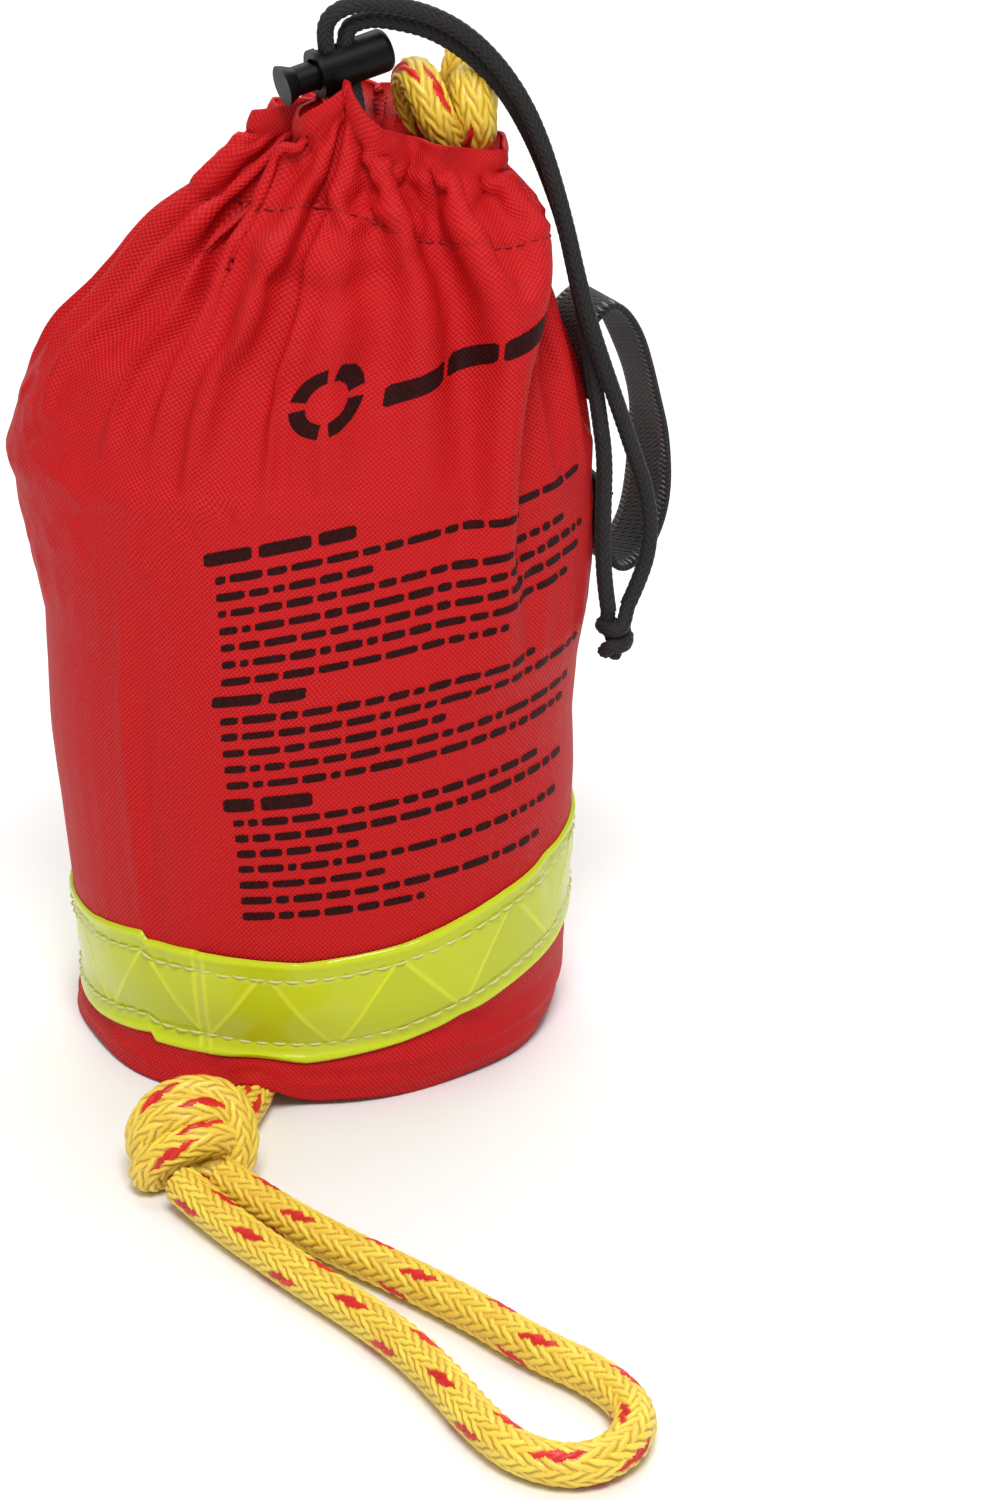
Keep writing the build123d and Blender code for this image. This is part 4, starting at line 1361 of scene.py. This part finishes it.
def cord_oval(turn, further_in=0.0):
    """Where the drawcord runs inside the pleats, in mm, at angles round the mouth."""
    valleys, depths = pleat_valleys()
    degrees_at = np.degrees(np.r_[valleys - 2 * pi, valleys, valleys + 2 * pi])
    deep = np.interp(np.degrees(turn), degrees_at, np.r_[depths, depths, depths])
    x, y = mouth_spot(turn, deep + 3.0 + further_in)
    angle = (np.degrees(turn) + 180) % 360 - 180
    return x, y, np.interp(angle, LIP[:, 0], LIP[:, 1])


def make_hem_cord(fabric, black, red):
    """The drawcord's run inside the casing, and the hem's inner layer behind it."""
    # the long way round, from one run of the drawcord to the other
    turn = np.radians(np.linspace(-128, -452, 40))
    x, y, lip = cord_oval(turn)
    ring = np.column_stack([x, y, lip - 7.0])
    route = [LONG_ROUTE[0], *[tuple(spot) for spot in ring], SHORT_ROUTE[0]]
    cord = small_cord("hem_drawcord", spline_line(route, 0.8 * MM), black, radius=1.7 * MM,
                      relief=0.2, around=24)
    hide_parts("hem_cord")

    columns = np.arange(fabric.columns)
    lip_ring = fabric.points[fabric.rows - 3]
    turn = np.arctan2(lip_ring[:, 1] - RING_AT[1], lip_ring[:, 0] - RING_AT[0])
    x, y, lip = cord_oval(turn, 3.0)
    grid = []
    # mm below the lip, and the share of the way from the outer layer in to the cord
    layer = [(0.2, 0.0), (1.2, 0.05), (2.2, 0.3), (3.4, 0.7), (4.8, 1.0), (7.0, 1.05), (9.2, 1.0),
             (12.0, 0.75), (15.0, 0.4), (19.0, 0.12), (24.0, 0.0)]
    for below, share in layer:
        outer, _ = fabric.at_grid((TALL - below) / fabric.row_rise, columns, -1.3)
        oval = np.column_stack([x, y, outer[:, 2]])
        grid.append(outer + (oval - outer) * share)
    band = make_band("hem_inner_layer", np.array(grid), red)
    up = np.repeat(np.arange(len(grid)) * 2.4, len(columns))
    store_uv(band, np.column_stack([np.tile(fabric.round, len(grid)), up]) * MM)
    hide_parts("hem_casing")


# Handle ---------------------------------------------------------------------------------------


HANDLE_U = 101.0  # mm round from the front to the sewn ends
HANDLE_TURN = radians(24)  # how far the strap's face is turned to the back from the right


def make_handle(fabric):
    """A strap sewn to the bag at both ends and bowed out between, as one band of webbing."""
    facing = np.array([cos(HANDLE_TURN), sin(HANDLE_TURN), 0])
    edge_way = np.array([sin(HANDLE_TURN), -cos(HANDLE_TURN), 0])
    hinge = np.array([67.4, 10.7, 0])
    # mm out from the hinge, and mm up, along the strap between its sewn ends
    route = [(-4.5, 172.5), (-1, 174), (4, 168), (8, 158), (11, 148), (12.5, 140), (12.2, 124),
             (9, 113.5), (3, 108.5), (-0.6, 109.5)]

    def on_bag(height):
        place, _ = fabric.at(HANDLE_U, height, 1.3)
        return tuple(place)

    upper = [on_bag(z) for z in (150, 155, 161, 167)]
    lower = [on_bag(z) for z in (114, 119, 125, 131)]
    bow = [tuple(hinge + facing * out + np.array([0, 0, z])) for out, z in route]
    line = spline_line(upper + bow + lower, 0.8 * MM)
    ahead = unit(np.gradient(line, axis=0))
    outward = unit(np.cross(ahead, edge_way))
    half, thick = 10.0 * MM, 0.85 * MM
    across = np.array([-1, -0.985, -0.9, -0.6, -0.3, 0, 0.3, 0.6, 0.9, 0.985, 1])
    crown = thick * np.array([0, 0.7, 1, 1, 1, 1, 1, 1, 1, 0.7, 0])
    front = list(zip(across, crown))
    loop = front + [(side, -lift) for side, lift in front[-2:0:-1]]
    points = []
    places = []
    edges = []
    run = run_along(line)
    curl = 0.5 * MM * np.sin(run / (7 * MM))
    for at, way, wave, along in zip(line, outward, curl, run):
        for side, lift in loop:
            points.append(at + edge_way * half * side + way * (lift + wave * side))
            places.append((side * half + half, along))
            # a row of light stitches runs near each edge
            edges.append(1.0 if 0.86 < abs(side) < 0.95 else 0.0)
    count = len(loop)
    faces = grid_faces(len(line), count, True)
    faces.append(tuple(range(count - 1, -1, -1)))
    faces.append(tuple((len(line) - 1) * count + i for i in range(count)))
    strap = make_object("webbing_handle", points, faces, herringbone(), body=None)
    store_uv(strap, places)
    store(strap, "edge", edges)
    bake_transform(strap)
    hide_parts("handle_strap", "handle_tabs")

    seams = []
    pitch, long = 1.5, 1.2
    for height in (114, 128, 153, 168):
        place, _ = fabric.at(HANDLE_U, height, 2.4)
        for side in np.arange(-8, 8, pitch):
            start_at = (place + edge_way * side) * MM
            end_at = (place + edge_way * (side + long)) * MM
            seams.append((start_at, end_at, facing))
    thread = sewing_thread("black thread", (0.010, 0.010, 0.010, 1), (0.07, 0.07, 0.07, 1))
    stitches("handle_bar_tacks", "handle_tacks", seams, 0.45 * MM, thread)


LOCK_MOUTH = np.array([3.2, -9.0, 230.0])  # centre of the cord lock's open end, in mm
LOCK_AXIS = np.array([0.880, 0.423, 0.215])  # from the plunger's head into the barrel


def make_spring():
    """The coil spring behind the plunger."""
    begins = 12.6  # mm along the axis from the open end to the coil
    length, turns = 3.4, 3
    reach, wire = 2.5, 0.3  # the coil's radius, and its wire's
    side = unit(np.cross(LOCK_AXIS, (0, 0, 1)))
    up = np.cross(side, LOCK_AXIS)
    share = np.linspace(0, 1, 91)[:, None]
    turn = share * turns * 2 * pi
    line = LOCK_MOUTH + LOCK_AXIS * (begins + length * share)
    line = line + reach * (side * np.cos(turn) + up * np.sin(turn))
    steel = metal("spring wire", (0.35, 0.35, 0.36, 1), (0.62, 0.62, 0.64, 1), 0.25)
    coil = braid("lock_spring_coil", line * MM, wire * MM, 2, 1.0 * MM, 0.0, steel, around=12)
    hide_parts("lock_spring")
    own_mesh(coil)


def finish_hardware():
    plastic = moulded_plastic()
    for node in ("lock_barrel", "lock_plunger"):
        dress(node, plastic)
    brass = metal("rolled brass", (0.42, 0.26, 0.08, 1), (0.74, 0.52, 0.20, 1), 0.28)
    for node in ("base_eyelet", "base_washer"):
        dress(node, brass)


def dress(node, material):
    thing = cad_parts[node]
    if not thing.material_slots:
        thing.data.materials.append(material)
    for place in thing.material_slots:
        place.material = material


place_camera()
light_stage()
lay_floor()
black = make_cords()
fabric, red = make_bag()
make_tape(fabric, lime_vinyl())
make_hem_stitches(fabric)
make_print(fabric, ink())
make_base(fabric, red)
make_hem_cord(fabric, black, red)
make_handle(fabric)
make_spring()
finish_hardware()

bpy.context.view_layer.update()
